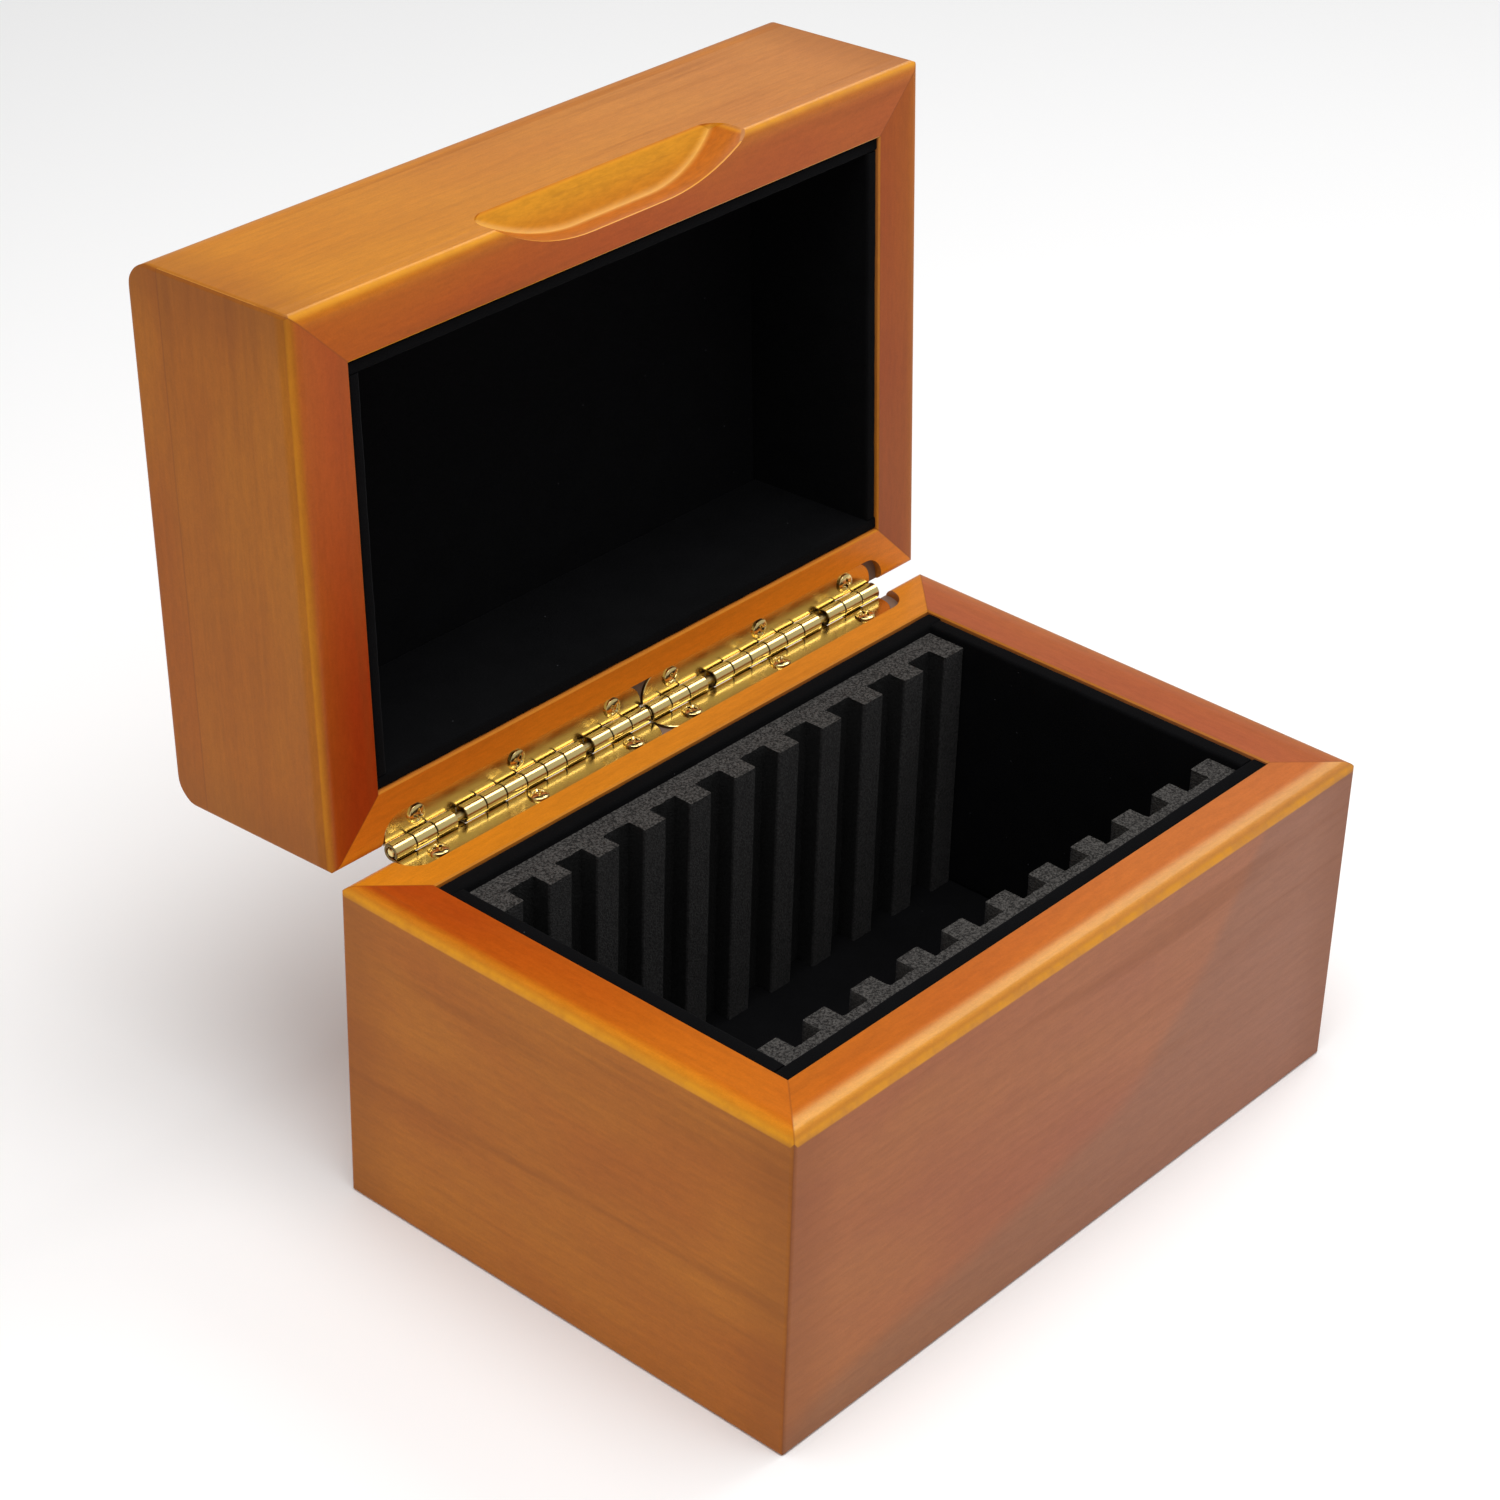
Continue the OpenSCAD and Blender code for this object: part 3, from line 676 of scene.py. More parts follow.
def sanded_side(finish, board, spot, on_lid, in_scoop):
    """How the base's rims and the lid's faces fall to the outer edge, and where they are glossy for it."""
    from_edge = spot.upward if on_lid else spot.inward
    fall = finish.minus(1.0, finish.math("DIVIDE", from_edge, board.dome[0] * MM), clamp=True)
    flat_side = finish.minus(1.0, spot.is_rim) if on_lid else spot.is_rim
    domed = finish.times(finish.span(fall, 0.0, 0.35), flat_side)
    domed = finish.times(domed, finish.span(in_scoop, 0.0, 1.0, 1.0, 0.25))
    sideways = spot.nx if board.axis == "X" else spot.ny
    return fall, finish.times(domed, finish.span(sideways, 0.3, 0.6, 1.0, 0.0))


def wood_finish(node, settings):
    """Stained and lacquered wood of one board, with rubbed edges, mitre lines, its own grain, and painted
    reflection, light and highlights.
    """
    board = BOARDS[node]
    on_lid = node.startswith("lid")
    lacquer = {"coat_roughness": settings.gloss, "coat_ior": 1.5}
    finish = Finish(node + "_stain", specular_ior_level=0.04, **lacquer)
    position, normal = finish.coordinates(on_lid)
    spot = find_spot(finish, position, normal, on_lid)
    grain = grain_coordinates(finish, board, spot)
    seeded = finish.vector("ADD", grain, (board.seed * 0.37, board.seed * 0.11, board.seed * 0.29))
    blotch = finish.streaky(seeded, 0.45, 34.0, 2.0, 0.5)

    surface = stain_and_painted_light(finish, settings, board, spot, blotch)
    surface, fleck, streaks, rings = grained(finish, settings, surface, grain, seeded, board.seed)
    patches = finish.noise(position, 5.0, 4.0, 0.65)
    surface = rubbed_edges(finish, settings, board, spot, surface, patches)
    surface = finish.mix(joint_lines(finish, node, spot), surface, settings.streak)

    # Only the lid's front board has the finger scoop, only the back boards have hinge recesses
    in_scoop, bend = 0.0, 0.0
    if node == "lid_front_board":
        surface, in_scoop, bend = scooped(finish, settings, spot, surface, grain, fleck)
    if node.endswith("back_board"):
        surface = finish.mix(routed_share(finish, spot, on_lid), surface, settings.bare)

    # The lacquer is glossier on the sanded side, and takes its dome and the fill of the scoop's bend
    fall, domed = sanded_side(finish, board, spot, on_lid, in_scoop)
    glossy = finish.math("MAXIMUM", domed, finish.times(bend, 0.3))
    filled = finish.times(bend, settings.bend_h)
    lowered = finish.times(finish.times(fall, fall), board.dome[1] * MM)
    dome = finish.bump(finish.minus(filled, lowered), 1.0 / MM)
    rough = finish.plus(finish.times(fleck, 0.14), finish.times(streaks, 0.10))
    pores = finish.plus(finish.times(fleck, 0.7), finish.times(rings, 0.3))
    finish.feed_shader(
        base_color=surface,
        roughness=finish.plus(rough, 0.34),
        normal=finish.bump(pores, 0.05, 0.35, dome),
        coat_weight=finish.span(glossy, 0.0, 1.0, settings.coat, board.edge_coat),
        coat_normal=dome,
    )
    return finish


class CASE_OT_boards(bpy.types.Operator):
    """Stain and lacquer the mitred boards, the lid's crown and the bottom panel"""

    bl_idname = "display_case.boards"
    bl_label = "Boards"

    def execute(self, context):
        for node in BOARDS:
            wood_finish(node, context.scene.case_wood).give(frame["nodes"][node])
        return {"FINISHED"}


# Linings

# For each lining: the axis that it is swept along
LININGS = {
    "base_floor_lining": "X",
    "base_front_lining": "X",
    "base_back_lining": "X",
    "base_left_lining": "Y",
    "base_right_lining": "Y",
    "lid_ceiling_lining": "X",
    "lid_front_lining": "X",
    "lid_back_lining": "X",
    "lid_left_lining": "Y",
    "lid_right_lining": "Y",
}
LINING_STEP = 1.6
LINING_SIDE_STEP = 5.0


def flock_finish(settings):
    """Short black flock with a faint sheen, a pile that bumps and specks of lint."""
    finish = Finish("black_flock", sheen_weight=0.025, sheen_roughness=0.4, specular_ior_level=0.03)
    position = finish.tree.nodes.new("ShaderNodeTexCoord").outputs["Object"]
    pile = finish.noise(position, 0.35, 3.0, 0.7)
    nap = finish.noise(position, 9.0, 3.0, 0.55)
    cells = finish.node("TexVoronoi", {}, {"Vector": position, "Scale": 1.0 / (3.2 * MM)})
    picked = finish.math("GREATER_THAN", finish.split(cells.outputs["Color"])[0], 0.90)
    speck = finish.times(picked, finish.span(cells.outputs["Distance"], 0.03, 0.06, 1.0, 0.0))
    black = finish.shaded(settings.black, finish.plus(finish.times(pile, 0.9), finish.times(nap, 0.7)))
    finish.feed_shader(
        base_color=finish.mix(speck, black, settings.lint),
        sheen_tint=(0.75, 0.78, 0.85),
        roughness=finish.span(nap, 0.2, 0.8, 0.82, 0.97),
        normal=finish.bump(pile, 0.18, 0.8),
    )
    return finish


def rounded_rectangle(low, high, radius, step):
    """Closed outline of a rectangle with rounded corners, with points along its sides."""
    corners = [
        ((high[0] - radius, low[1] + radius), -90.0),
        ((high[0] - radius, high[1] - radius), 0.0),
        ((low[0] + radius, high[1] - radius), 90.0),
        ((low[0] + radius, low[1] + radius), 180.0),
    ]
    outline = []
    for i, (centre, start) in enumerate(corners):
        bend = arc(centre, radius, start, start + 90.0, 4)
        outline += bend
        following, next_start = corners[(i + 1) % 4]
        target = arc(following, radius, next_start, next_start, 1)[0]
        last = Vector(bend[-1])
        count = max(1, round((Vector(target) - last).length / step))
        outline += [tuple(last.lerp(Vector(target), k / count)) for k in range(1, count)]
    return outline


def lining_shape(node, axis, settings, seed):
    """A thin slab with soft edges whose flocked faces wander a little."""
    low, high = closed_box(node)
    main = "XYZ".index(axis)
    others = [i for i in range(3) if i != main]
    edge = min(settings.edge_r / MM, 0.45 * min(high[i] - low[i] for i in range(3)))
    outline = rounded_rectangle(
        [low[i] for i in others], [high[i] for i in others], edge, LINING_SIDE_STEP
    )
    reach = settings.unevenness / MM
    rings = []
    for distance in along(low[main], high[main], LINING_STEP):
        ring = []
        for first, second in outline:
            point = Vector((0.0, 0.0, 0.0))
            point[main], point[others[0]], point[others[1]] = distance, first, second
            offset = wander(point, 7.0, seed) * reach + wander(point, 1.7, seed + 5.0) * reach * 0.5
            offset[main] = 0.0
            ring.append(point + offset)
        rings.append(ring)
    return loft(rings)


class CASE_OT_linings(bpy.types.Operator):
    """Lay the black flocked linings into base and lid"""

    bl_idname = "display_case.linings"
    bl_label = "Linings"

    def execute(self, context):
        settings = context.scene.case_lining
        finish = flock_finish(settings)
        for seed, (node, axis) in enumerate(LININGS.items()):
            shape = lining_shape(node, axis, settings, float(seed))
            make_piece("flocked_" + node, shape, node, finish)
        return {"FINISHED"}


# Foam racks, in millimetres: the rounding of cut corners, the spacing of points along the cuts, and the
# slight taper of the sawn top
CUT_R = 0.35
CUT_STEP = 0.75
TOP_TAPER = 1.0 / 300.0


def foam_finish(node, settings):
    """Charcoal foam with open cells: pale sawn top, darker tooth faces and painted shade in the slots."""
    finish = Finish(node + "_cells", specular_ior_level=0.15)
    source = finish.tree.nodes.new("ShaderNodeTexCoord")
    position = source.outputs["Object"]
    _, y, z = finish.split(position)
    cells = finish.node("TexVoronoi", {}, {"Vector": position, "Scale": 1.0 / settings.cell})
    speckle = finish.noise(position, 0.58, 3.0, 0.75)
    patches = finish.noise(position, 7.0, 3.0, 0.6)
    pit = finish.span(cells.outputs["Distance"], 0.15, 0.65)

    # The slots lie behind the plane of the tooth faces and are painted with shade; in the front rack that
    # painted shade fades to the sawn colour near the top
    low, high = closed_box(node)
    is_rear = node.startswith("rear")
    behind = finish.minus(y, low.y * MM) if is_rear else finish.minus(high.y * MM, y)
    wall = settings.slot
    if not is_rear:
        down = finish.minus(high.z * MM, z)
        wall = finish.mix(finish.span_mm(down, 2.0, 10.0), settings.sawn, settings.slot)
    side = finish.mix(finish.span_mm(behind, 0.3, 1.0), settings.charcoal, wall)
    on_top = finish.span(finish.split(source.outputs["Normal"])[2], 0.3, 0.8)
    tone = finish.mix(on_top, side, settings.sawn)

    coarse = finish.span(speckle, 0.38, 0.64, 0.26, 1.98)
    fine = finish.span(speckle, 0.38, 0.64, 0.60, 1.45)
    grit = finish.plus(fine, finish.times(on_top, finish.minus(coarse, fine)))
    shade = finish.times(grit, finish.plus(finish.times(patches, 0.30), 0.85))
    height = finish.plus(finish.times(pit, 0.6), finish.times(speckle, 0.7))
    finish.feed_shader(
        base_color=finish.shaded(tone, shade),
        roughness=finish.span(speckle, 0.2, 0.8, 0.78, 0.95),
        normal=finish.bump(height, 0.22, 0.9),
    )
    return finish


def comb_outline(length_mm, web, settings):
    """Outline of a comb whose teeth point to -Y; its roots lie on y = 0."""
    slot_w, depth = settings.slot_w / MM, settings.slot_depth / MM
    tooth = (length_mm - settings.slots * slot_w) / (settings.slots + 1)
    corners = [(-length_mm / 2, web)]
    for i in range(settings.slots + 1):
        left = -length_mm / 2 + i * (tooth + slot_w)
        if i > 0:
            corners.append((left, 0.0))
        corners += [(left, -depth), (left + tooth, -depth)]
        if i < settings.slots:
            corners.append((left + tooth, 0.0))
    corners.append((length_mm / 2, web))
    return corners


def softened(corners, radius, step):
    """The outline with rounded corners and points about a step apart."""
    outline = []
    count = len(corners)
    for i in range(count):
        before, here, after = (Vector(corners[(i + k) % count]) for k in (-1, 0, 1))
        start = here + (before - here).normalized() * radius
        end = here + (after - here).normalized() * radius
        outline += [start, (start + end + 2.0 * here) / 4.0, end]
        target = after + (here - after).normalized() * radius
        pieces = max(1, round((target - end).length / step))
        outline += [end.lerp(target, k / pieces) for k in range(1, pieces)]
    return outline


def rack_shape(node, settings, seed, toward_rear):
    """One foam rack: a comb cut from a slab, its faces and slot roots a little uneven."""
    low, high = closed_box(node)
    rack_l = high.x - low.x
    depth = settings.slot_depth / MM
    ragged = settings.raggedness / MM
    web = high.y - low.y - depth
    root = low.y + depth if toward_rear else high.y - depth
    side = 1.0 if toward_rear else -1.0
    outline = softened(comb_outline(rack_l, web, settings), CUT_R, CUT_STEP)
    heights = [low.z, low.z + 0.3, *along(low.z + 0.8, high.z - 0.9, 3.0)]
    heights += [high.z - below for below in (CUT_R, 0.08, 0.0)]
    rings = []
    for height in heights:
        ring = []
        taper = 1.0 - max(0.0, CUT_R - (high.z - height)) * TOP_TAPER
        for x, y in outline:
            point = Vector((x, y, height))
            by_slots = abs(x) < rack_l / 2.0 - CUT_R - 1.0
            near_root = max(0.0, 1.0 - abs(y + 0.3) / 0.9) if by_slots else 0.0
            fine = wander(point, 1.3, seed) * (0.07 + ragged * near_root)
            broad = wander(point, 9.0, seed + 3.0) * 0.10
            if y <= web - 0.5:
                x += fine.x + broad.x
                y += fine.y + broad.y
            ring.append((x * taper, root + side * y, height))
        rings.append(ring)
    return loft(rings)


class CASE_OT_racks(bpy.types.Operator):
    """Cut the front and rear foam racks"""

    bl_idname = "display_case.racks"
    bl_label = "Foam racks"

    def execute(self, context):
        settings = context.scene.case_foam
        for seed, node in enumerate(("front_foam_rack", "rear_foam_rack")):
            shape = rack_shape(node, settings, seed + 20.0, node.startswith("rear"))
            piece = make_piece("cut_" + node, shape, node, foam_finish(node, settings))
        return {"FINISHED"}


# Hinges, in millimetres and degrees: knuckles in each group, gap between two of them, gap from a leaf's edge
# to the other leaf's knuckles, bevel of the sheet, half the gap between stop tongues, and opening at a lip
KNUCKLE_GROUPS = (3, 6, 3)
KNUCKLE_GAP = 0.35
NOTCH_GAP = 0.2
SHEET_BEVEL = 0.12
TONGUE_GAP = 0.075
LIP_ANGLE = 7.0
ARC_STEPS = 40
CORNER_STEPS = 14
SIDES = ("left", "right")
BODIES = ("base", "lid")


def brass_finish(settings, name, waviness, dulling=0.0):
    """Polished brass with a faint film, hairline scratches, a sheet that isn't quite flat, and shade painted
    on faces that look along the pin.
    """
    finish = Finish(name, metallic=1.0)
    source = finish.tree.nodes.new("ShaderNodeTexCoord")
    position = source.outputs["Object"]
    film = finish.noise(position, 6.0, 4.0, 0.6)
    hairs = finish.streaky(position, 0.06, 0.5, 3.0, 0.6)
    dents = finish.streaky(position, 0.5, 5.0, 2.0, 0.4)
    tint = finish.mix(finish.span(film, 0.50, 0.85, 0.0, 0.30), settings.brass, settings.tarnish)
    # Painted shade: faces that look along the pin, the knuckle ends in their gaps among them, are darkened
    ends = finish.math("ABSOLUTE", finish.split(source.outputs["Normal"])[0])
    tint = finish.mix(finish.span(ends, 0.5, 0.9, 0.0, 0.9), tint, settings.knuckle_gap_shade)
    rough = finish.plus(finish.span(film, 0.35, 0.80, 0.0, 0.10), finish.times(hairs, 0.05))
    finish.feed_shader(
        base_color=tint,
        roughness=finish.plus(rough, settings.polish + dulling - 0.03),
        normal=finish.bump(finish.plus(dents, finish.times(hairs, 0.02)), waviness),
    )
    return finish


def barrel_radius(leaf):
    """Outer radius of a leaf's knuckles; the leaf itself lies on one side of them."""
    low, high = closed_box(leaf)
    axis_z = HINGE_AXIS.z / MM
    return min(axis_z - low.z, high.z - axis_z)


def knuckle_starts(hinge_l, settings):
    """Start of each knuckle along the hinge, the pitch, and the starts of the bare stretches of pin."""
    gap = settings.pin_gap / MM
    count = sum(KNUCKLE_GROUPS)
    pitch = (hinge_l - gap * (len(KNUCKLE_GROUPS) - 1)) / count
    starts, bare = [], []
    place = 0.0
    for i, group in enumerate(KNUCKLE_GROUPS):
        if i > 0:
            bare.append(place)
            place += gap
        starts += [place + k * pitch for k in range(group)]
        place += group * pitch
    return starts, pitch, bare


def notch_edge(barrel_r, z):
    """Where the plate's back edge lies at a height, just clear of the other leaf's knuckles."""
    return -math.sqrt((barrel_r + NOTCH_GAP) ** 2 - z**2)


def leaf_outline(hinge_l, width, radius, back, inset):
    """Plan of a leaf with rounded front corners; y = 0 is the barrel's axis."""
    left, right, front, r = inset, hinge_l - inset, -width + inset, radius - inset
    left_corner = arc((left + r, front + r), r, 180.0, 270.0, CORNER_STEPS)
    right_corner = arc((right - r, front + r), r, 270.0, 360.0, CORNER_STEPS)
    return [(left, back), *left_corner, *right_corner, (right, back)]


def plate_shape(hinge_l, width, radius, barrel_r, sheet):
    """The flat of a leaf: its upper edge has a small bevel, its back edge is hollowed round the barrel."""
    rings = []
    for share_up in (0.0, 0.3, 0.6, 1.0 - SHEET_BEVEL / sheet, 1.0):
        z = share_up * sheet - barrel_r
        inset = SHEET_BEVEL if share_up == 1.0 else 0.0
        outline = leaf_outline(hinge_l, width, radius, notch_edge(barrel_r, z), inset)
        rings.append([(x, y, z) for x, y in outline])
    return loft(rings)


def rolled_knuckle(start, end, barrel_r, sheet, back):
    """Sheet that runs from the leaf under the pin and curls round it to a lip just over the leaf."""
    lip = 180.0 + math.degrees(math.asin((barrel_r - sheet) / barrel_r)) - LIP_ANGLE
    bevel = SHEET_BEVEL
    rings = []
    for x, inset in ((start, bevel), (start + bevel, 0.0), (end - bevel, 0.0), (end, bevel)):
        outer_r, inner_r = barrel_r - inset, barrel_r - sheet + inset
        outer = [(back, -outer_r), *arc((0.0, 0.0), outer_r, -90.0, lip, ARC_STEPS)]
        inner = [(back, -inner_r), *arc((0.0, 0.0), inner_r, -90.0, lip, ARC_STEPS)]
        rings.append([(x, y, z) for y, z in outer + inner[::-1]])
    points, faces = loft(rings, closed_ends=False)
    count = len(rings[0])
    for first in (0, len(points) - count):
        # Each end is closed by quads between the outer and the inner arc
        last = first + count - 1
        for i in range(count // 2 - 1):
            faces.append((first + i, first + i + 1, last - i - 1, last - i))
    return points, faces


def stop_tongue(start, end, barrel_r, sheet, back):
    """Tongue behind the bare pin, mitred where it meets the other leaf's when the lid is open."""
    slope = math.tan(OPEN_ANGLE / 2.0)
    pull = TONGUE_GAP / math.sin(OPEN_ANGLE / 2.0)
    profile = [
        (back, -barrel_r),
        (barrel_r / slope - pull, -barrel_r),
        ((barrel_r - sheet) / slope - pull, sheet - barrel_r),
        (back, sheet - barrel_r),
    ]
    return loft([[(x, y, z) for y, z in profile] for x in (start, end)])


def leaf_shape(node, settings, first_knuckle):
    """A hinge leaf in its own frame: the pin's axis is y = z = 0 and the leaf lies under it."""
    low, high = closed_box(node)
    hinge_l = high.x - low.x
    barrel_r = barrel_radius(node)
    sheet = settings.leaf_t / MM
    back = notch_edge(barrel_r, sheet - barrel_r) - sheet / 2.0
    starts, pitch, bare = knuckle_starts(hinge_l, settings)
    width = HINGE_AXIS.y / MM - low.y
    shapes = [plate_shape(hinge_l, width, settings.leaf_corner_r / MM, barrel_r, sheet)]
    for start in starts[first_knuckle::2]:
        ends = start + KNUCKLE_GAP / 2.0, start + pitch - KNUCKLE_GAP / 2.0
        shapes.append(rolled_knuckle(*ends, barrel_r, sheet, back))
    for start in bare:
        ends = start + KNUCKLE_GAP, start + settings.pin_gap / MM - KNUCKLE_GAP
        shapes.append(stop_tongue(*ends, barrel_r, sheet, back))
    return join_shapes(shapes)


class CASE_OT_leaves(bpy.types.Operator):
    """Roll the four brass hinge leaves round their pins"""

    bl_idname = "display_case.leaves"
    bl_label = "Hinge leaves"

    def execute(self, context):
        settings = context.scene.case_brass
        finish = brass_finish(settings, "polished_sheet_brass", 0.011)
        for side in SIDES:
            for first_knuckle, body in enumerate(BODIES):
                node = f"{side}_hinge_{body}_leaf"
                points, faces = leaf_shape(node, settings, first_knuckle)
                if body == "lid":
                    points = [(x, y, -z) for x, y, z in points]
                low, _ = closed_box(node)
                place = Matrix.Translation(Vector((low.x * MM, HINGE_AXIS.y, HINGE_AXIS.z)))
                make_piece("rolled_" + node, (points, faces), node, finish, place)
        return {"FINISHED"}


# Domed end of a pin: shares of its radius, and how far from the end they lie
PIN_END = ((0.6, 0.06), (0.9, 0.2), (1.0, 0.35))
PIN_STEPS = 40


def pin_shape(radius, pin_l):
    """A round pin along Z from 0, domed at both ends."""
    profile = [(part * radius, inward) for part, inward in PIN_END]
    profile += [(part * radius, pin_l - inward) for part, inward in reversed(PIN_END)]
    return loft_to_tips([turned_ring([r] * PIN_STEPS, z) for r, z in profile], 0.0, pin_l)


class CASE_OT_pins(bpy.types.Operator):
    """Turn the two hinge pins, with domed ends"""

    bl_idname = "display_case.pins"
    bl_label = "Hinge pins"

    def execute(self, context):
        finish = brass_finish(context.scene.case_brass, "drawn_brass_pin", 0.02, 0.12)
        turn = Matrix.Rotation(math.radians(90.0), 4, "Y")
        for side in SIDES:
            node = f"{side}_hinge_pin"
            low, high = closed_box(node)
            shape = pin_shape((high.z - low.z) / 2.0, high.x - low.x)
            end = Vector((low.x, (low.y + high.y) / 2.0, (low.z + high.z) / 2.0)) * MM
            place = Matrix.Translation(end) @ turn
            make_piece("turned_" + node, shape, node, finish, place)
        return {"FINISHED"}


# Screws, in millimetres; DOME_SHARE is how much of the head's radius the dome takes
SCREWS_PER_LEAF = 3
SCREW_STEPS = 96
HEAD_RINGS = 34
HEAD_RIM_H = 0.36
DOME_SHARE = 0.9
SHANK_R = 1.2
PLAIN_SHANK_L = 1.0
TIP_L = 2.5
TIP_R = 0.05
THREAD_PITCH = 1.1
THREAD_DEPTH = 0.3

# Cross recess: its depth, the reach of its wings as a share of the head's radius, half their width at the
# tip, how much wider they get at the middle, and the run of their walls
CROSS_DEPTH = 0.75
CROSS_REACH = 0.62
CROSS_HALF_W = 0.34
CROSS_FLARE = 0.12
CROSS_WALL = 0.14

# How far each screw was driven round, in radians: the first, one more than the last, and more at the left
FIRST_TURN = 0.55
NEXT_TURN = 1.3
LEFT_TURN = 0.8


def cross_depth(x, y, head_r):
    """Share of the cross recess's depth at a point of the head: four tapering wings, deepest inside."""
    depth = 0.0
    for along_wing, across_wing in ((abs(x), abs(y)), (abs(y), abs(x))):
        reach = max(0.0, 1.0 - along_wing / (CROSS_REACH * head_r))
        half_width = CROSS_HALF_W + CROSS_FLARE * reach
        wall = min(1.0, max(0.0, (half_width - across_wing) / CROSS_WALL))
        depth = max(depth, wall * min(1.0, 3.0 * reach) * (0.55 + 0.45 * reach))
    return depth


def head_ring(share_out, head_r, head_h):
    """Ring of an oval head at a share of its radius: a dome that runs out to a thin rim, less the recess."""
    dome_h = head_h - HEAD_RIM_H
    dome = HEAD_RIM_H + dome_h * (1.0 - min(share_out, DOME_SHARE) ** 2) ** 0.55
    run_out = max(0.0, share_out - DOME_SHARE) / (1.0 - DOME_SHARE)
    height = dome + (HEAD_RIM_H - dome) * run_out**2.2
    ring = turned_ring([share_out * head_r] * SCREW_STEPS, height)
    return [(x, y, z - CROSS_DEPTH * cross_depth(x, y, head_r)) for x, y, z in ring]


def thread_ring(z, shank_l):
    """Ring of the shank at a height: plain under the head, then threaded, and tapering to the tip."""
    taper = min(1.0, (z + shank_l) / TIP_L)
    radii = []
    for i in range(SCREW_STEPS):
        turn = z / THREAD_PITCH - i / SCREW_STEPS
        thread = abs(2.0 * (turn - math.floor(turn)) - 1.0) if z < -PLAIN_SHANK_L else 1.0
        radii.append(max(TIP_R, (SHANK_R - THREAD_DEPTH * (1.0 - thread)) * taper))
    return turned_ring(radii, z)


def screw_shape(head_r, head_h, shank_l):
    """Oval head with a thin rim and a cross recess, on a threaded shank. z = 0 is under the head."""
    rings = [head_ring(i / HEAD_RINGS, head_r, head_h) for i in range(1, HEAD_RINGS + 1)]
    rings.append(turned_ring([head_r] * SCREW_STEPS, 0.0))
    rings += [thread_ring(z, shank_l) for z in along(0.0, -shank_l, THREAD_PITCH / 6.0)]
    return loft_to_tips(rings, head_h - CROSS_DEPTH, -shank_l)


class CASE_OT_screws(bpy.types.Operator):
    """Drive the twelve cross-recessed brass screws"""

    bl_idname = "display_case.screws"
    bl_label = "Screws"

    def execute(self, context):
        brass = context.scene.case_brass
        finish = brass_finish(brass, "plated_screw", 0.03)
        for side in SIDES:
            for body in BODIES:
                node = f"{side}_hinge_{body}_screws"
                low, high = closed_box(node)
                head_r = (high.y - low.y) / 2.0
                is_base = body == "base"
                off_axis = barrel_radius(f"{side}_hinge_{body}_leaf") - brass.leaf_t / MM
                seat = HINGE_AXIS.z / MM - (off_axis if is_base else -off_axis)
                top, tip = (high.z, low.z) if is_base else (low.z, high.z)
                shape = screw_shape(head_r, abs(top - seat), abs(seat - tip))
                over = Matrix.Rotation(0.0 if is_base else math.pi, 4, "X")
                for i in range(SCREWS_PER_LEAF):
                    x = low.x + head_r + (high.x - low.x - 2.0 * head_r) * i / (SCREWS_PER_LEAF - 1)
                    driven = FIRST_TURN + NEXT_TURN * i + (LEFT_TURN if side == "left" else 0.0)
                    place = Matrix.Translation(Vector((x, (low.y + high.y) / 2.0, seat)) * MM)
                    place = place @ over @ Matrix.Rotation(driven, 4, "Z")
                    name = f"{side}_{body}_screw_{i + 1}"
                    make_piece(name, shape, node, finish, place, 50.0)
        return {"FINISHED"}


# Stage, in metres and degrees
FLOOR_HALF = 6.0

# For each light: its place, what it shines at, and its size
LIGHTS = {
    "key": ((-0.15, -0.20, 1.15), (0.0, 0.05, 0.08), (0.9, 0.7)),
    "side": ((0.90, -0.05, 1.15), (0.0, 0.02, 0.08), (0.6, 0.6)),
}
CAMERA_TARGET = (0.05826, 0.08621, 0.04337)
CAMERA_AZIMUTH = -49.225
CAMERA_ELEVATION = 31.637
CAMERA_ROLL = 1.709
SENSOR_W = 36.0


def add_area_light(name, place, target, size, power):
    lamp = bpy.data.lights.new(name, "AREA")
    lamp.shape = "RECTANGLE"
    lamp.size, lamp.size_y = size
    lamp.energy = power
    holder = bpy.data.objects.new(name, lamp)
    bpy.context.scene.collection.objects.link(holder)
    holder.location = place
    holder.rotation_euler = (Vector(target) - Vector(place)).to_track_quat("-Z", "Y").to_euler()


def add_camera(settings):
    """Camera at the angle of the reference: turned round the case, raised and rolled a little."""
    azimuth, elevation, roll = (math.radians(a) for a in (CAMERA_AZIMUTH, CAMERA_ELEVATION, CAMERA_ROLL))
    level_part = math.cos(elevation)
    back = Vector((math.sin(azimuth) * level_part, -math.cos(azimuth) * level_part, math.sin(elevation)))
    level = Vector((0.0, 0.0, 1.0)).cross(back).normalized()
    upright = back.cross(level)
    right = level * math.cos(roll) + upright * math.sin(roll)
    up = upright * math.cos(roll) - level * math.sin(roll)
    camera = bpy.data.objects.new("camera", bpy.data.cameras.new("camera"))
    bpy.context.scene.collection.objects.link(camera)
    camera.data.lens = settings.lens
    camera.data.sensor_width = SENSOR_W
    turn = Matrix((right, up, back)).transposed().to_4x4()
    camera.matrix_world = Matrix.Translation(Vector(CAMERA_TARGET) + back * settings.distance) @ turn
    bpy.context.scene.camera = camera


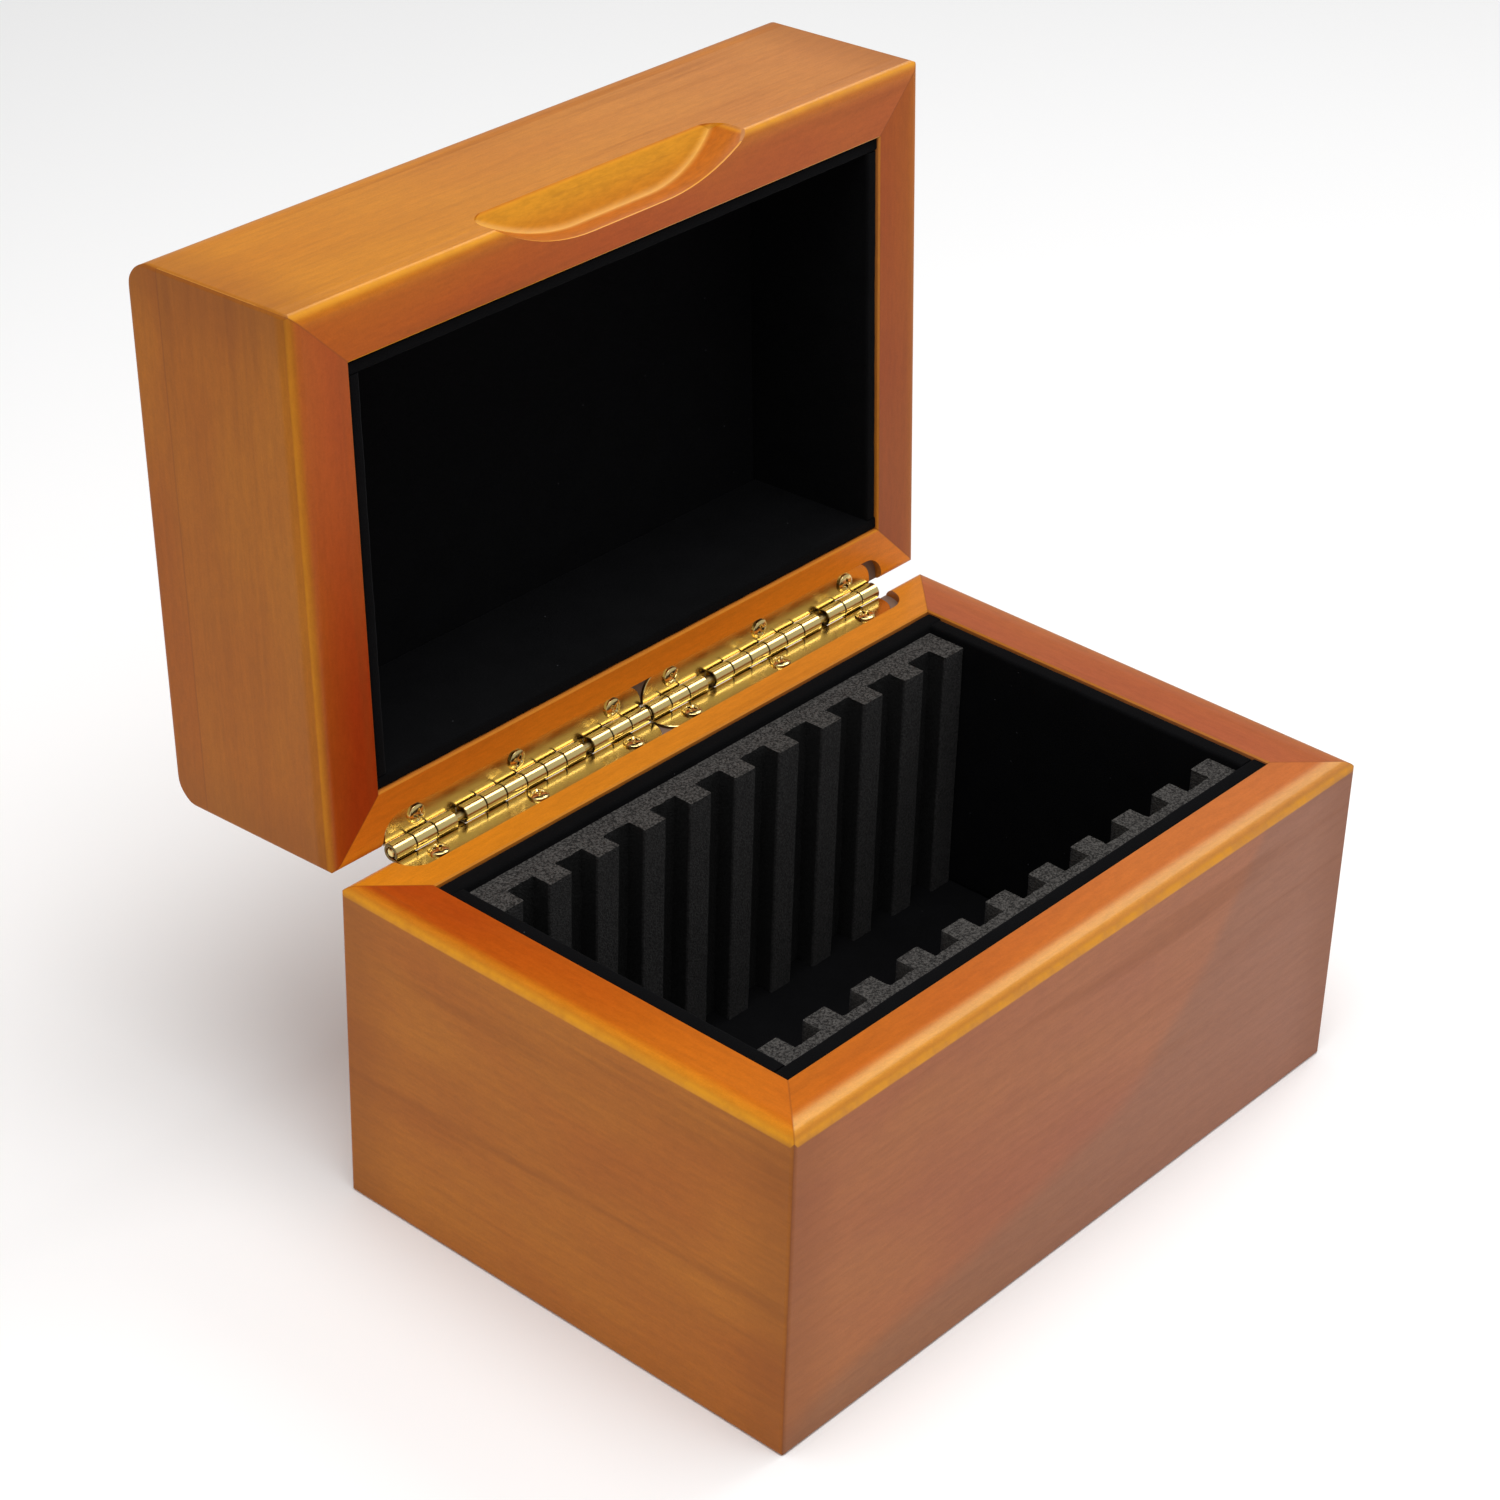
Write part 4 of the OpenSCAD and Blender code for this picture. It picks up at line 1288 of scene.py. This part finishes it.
class CASE_OT_stage(bpy.types.Operator):
    """Set the plain floor, the soft studio light and the camera"""

    bl_idname = "display_case.stage"
    bl_label = "Stage"

    def execute(self, context):
        settings = context.scene.case_stage
        mesh = bpy.data.meshes.new("floor")
        corners = [(x * FLOOR_HALF, y * FLOOR_HALF, 0.0) for x, y in ((-1, -1), (1, -1), (1, 1), (-1, 1))]
        mesh.from_pydata(corners, [], [(0, 1, 2, 3)])
        floor = bpy.data.objects.new("floor", mesh)
        context.scene.collection.objects.link(floor)
        paint = Finish("pale_floor", base_color=settings.floor, roughness=0.6, specular_ior_level=0.2)
        paint.give(floor)

        world = bpy.data.worlds.new("pale_room")
        world.use_nodes = True
        background = world.node_tree.nodes["Background"]
        background.inputs["Color"].default_value = (1.0, 1.0, 1.0, 1.0)
        background.inputs["Strength"].default_value = settings.sky
        context.scene.world = world

        for name, (place, target, size) in LIGHTS.items():
            add_area_light(name, place, target, size, getattr(settings, name))
        context.scene.view_settings.view_transform = "Standard"
        add_camera(settings)
        return {"FINISHED"}


class CASE_PT_panel(bpy.types.Panel):
    """Lists the case's settings and the steps that make it"""

    bl_idname = "CASE_PT_panel"
    bl_label = "Coin display case"
    bl_space_type = "VIEW_3D"
    bl_region_type = "UI"
    bl_category = "Display case"

    def draw(self, context):
        for operator in OPERATORS:
            self.layout.operator(operator.bl_idname)
        for name in SETTINGS:
            group = getattr(context.scene, name)
            box = self.layout.box()
            box.label(text=group.__class__.__doc__)
            for prop in group.__class__.__annotations__:
                box.prop(group, prop)


OPERATORS = (
    CASE_OT_stage,
    CASE_OT_boards,
    CASE_OT_linings,
    CASE_OT_racks,
    CASE_OT_leaves,
    CASE_OT_pins,
    CASE_OT_screws,
)
SETTINGS = {
    "case_wood": WoodSettings,
    "case_lining": LiningSettings,
    "case_foam": FoamSettings,
    "case_brass": BrassSettings,
    "case_stage": StageSettings,
}


def register():
    for group in SETTINGS.values():
        bpy.utils.register_class(group)
    for name, group in SETTINGS.items():
        setattr(bpy.types.Scene, name, PointerProperty(type=group))
    for item in (*OPERATORS, CASE_PT_panel):
        bpy.utils.register_class(item)


def unregister():
    for item in reversed((*OPERATORS, CASE_PT_panel)):
        bpy.utils.unregister_class(item)
    for name in SETTINGS:
        delattr(bpy.types.Scene, name)
    for group in SETTINGS.values():
        bpy.utils.unregister_class(group)


def write_sizes():
    """Brings the view layer up to date."""
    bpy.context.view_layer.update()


def main():
    register()
    bpy.ops.display_case.stage()
    bpy.ops.display_case.boards()
    bpy.ops.display_case.linings()
    bpy.ops.display_case.racks()
    bpy.ops.display_case.leaves()
    bpy.ops.display_case.pins()
    bpy.ops.display_case.screws()
    write_sizes()


if __name__ == "__main__":
    main()
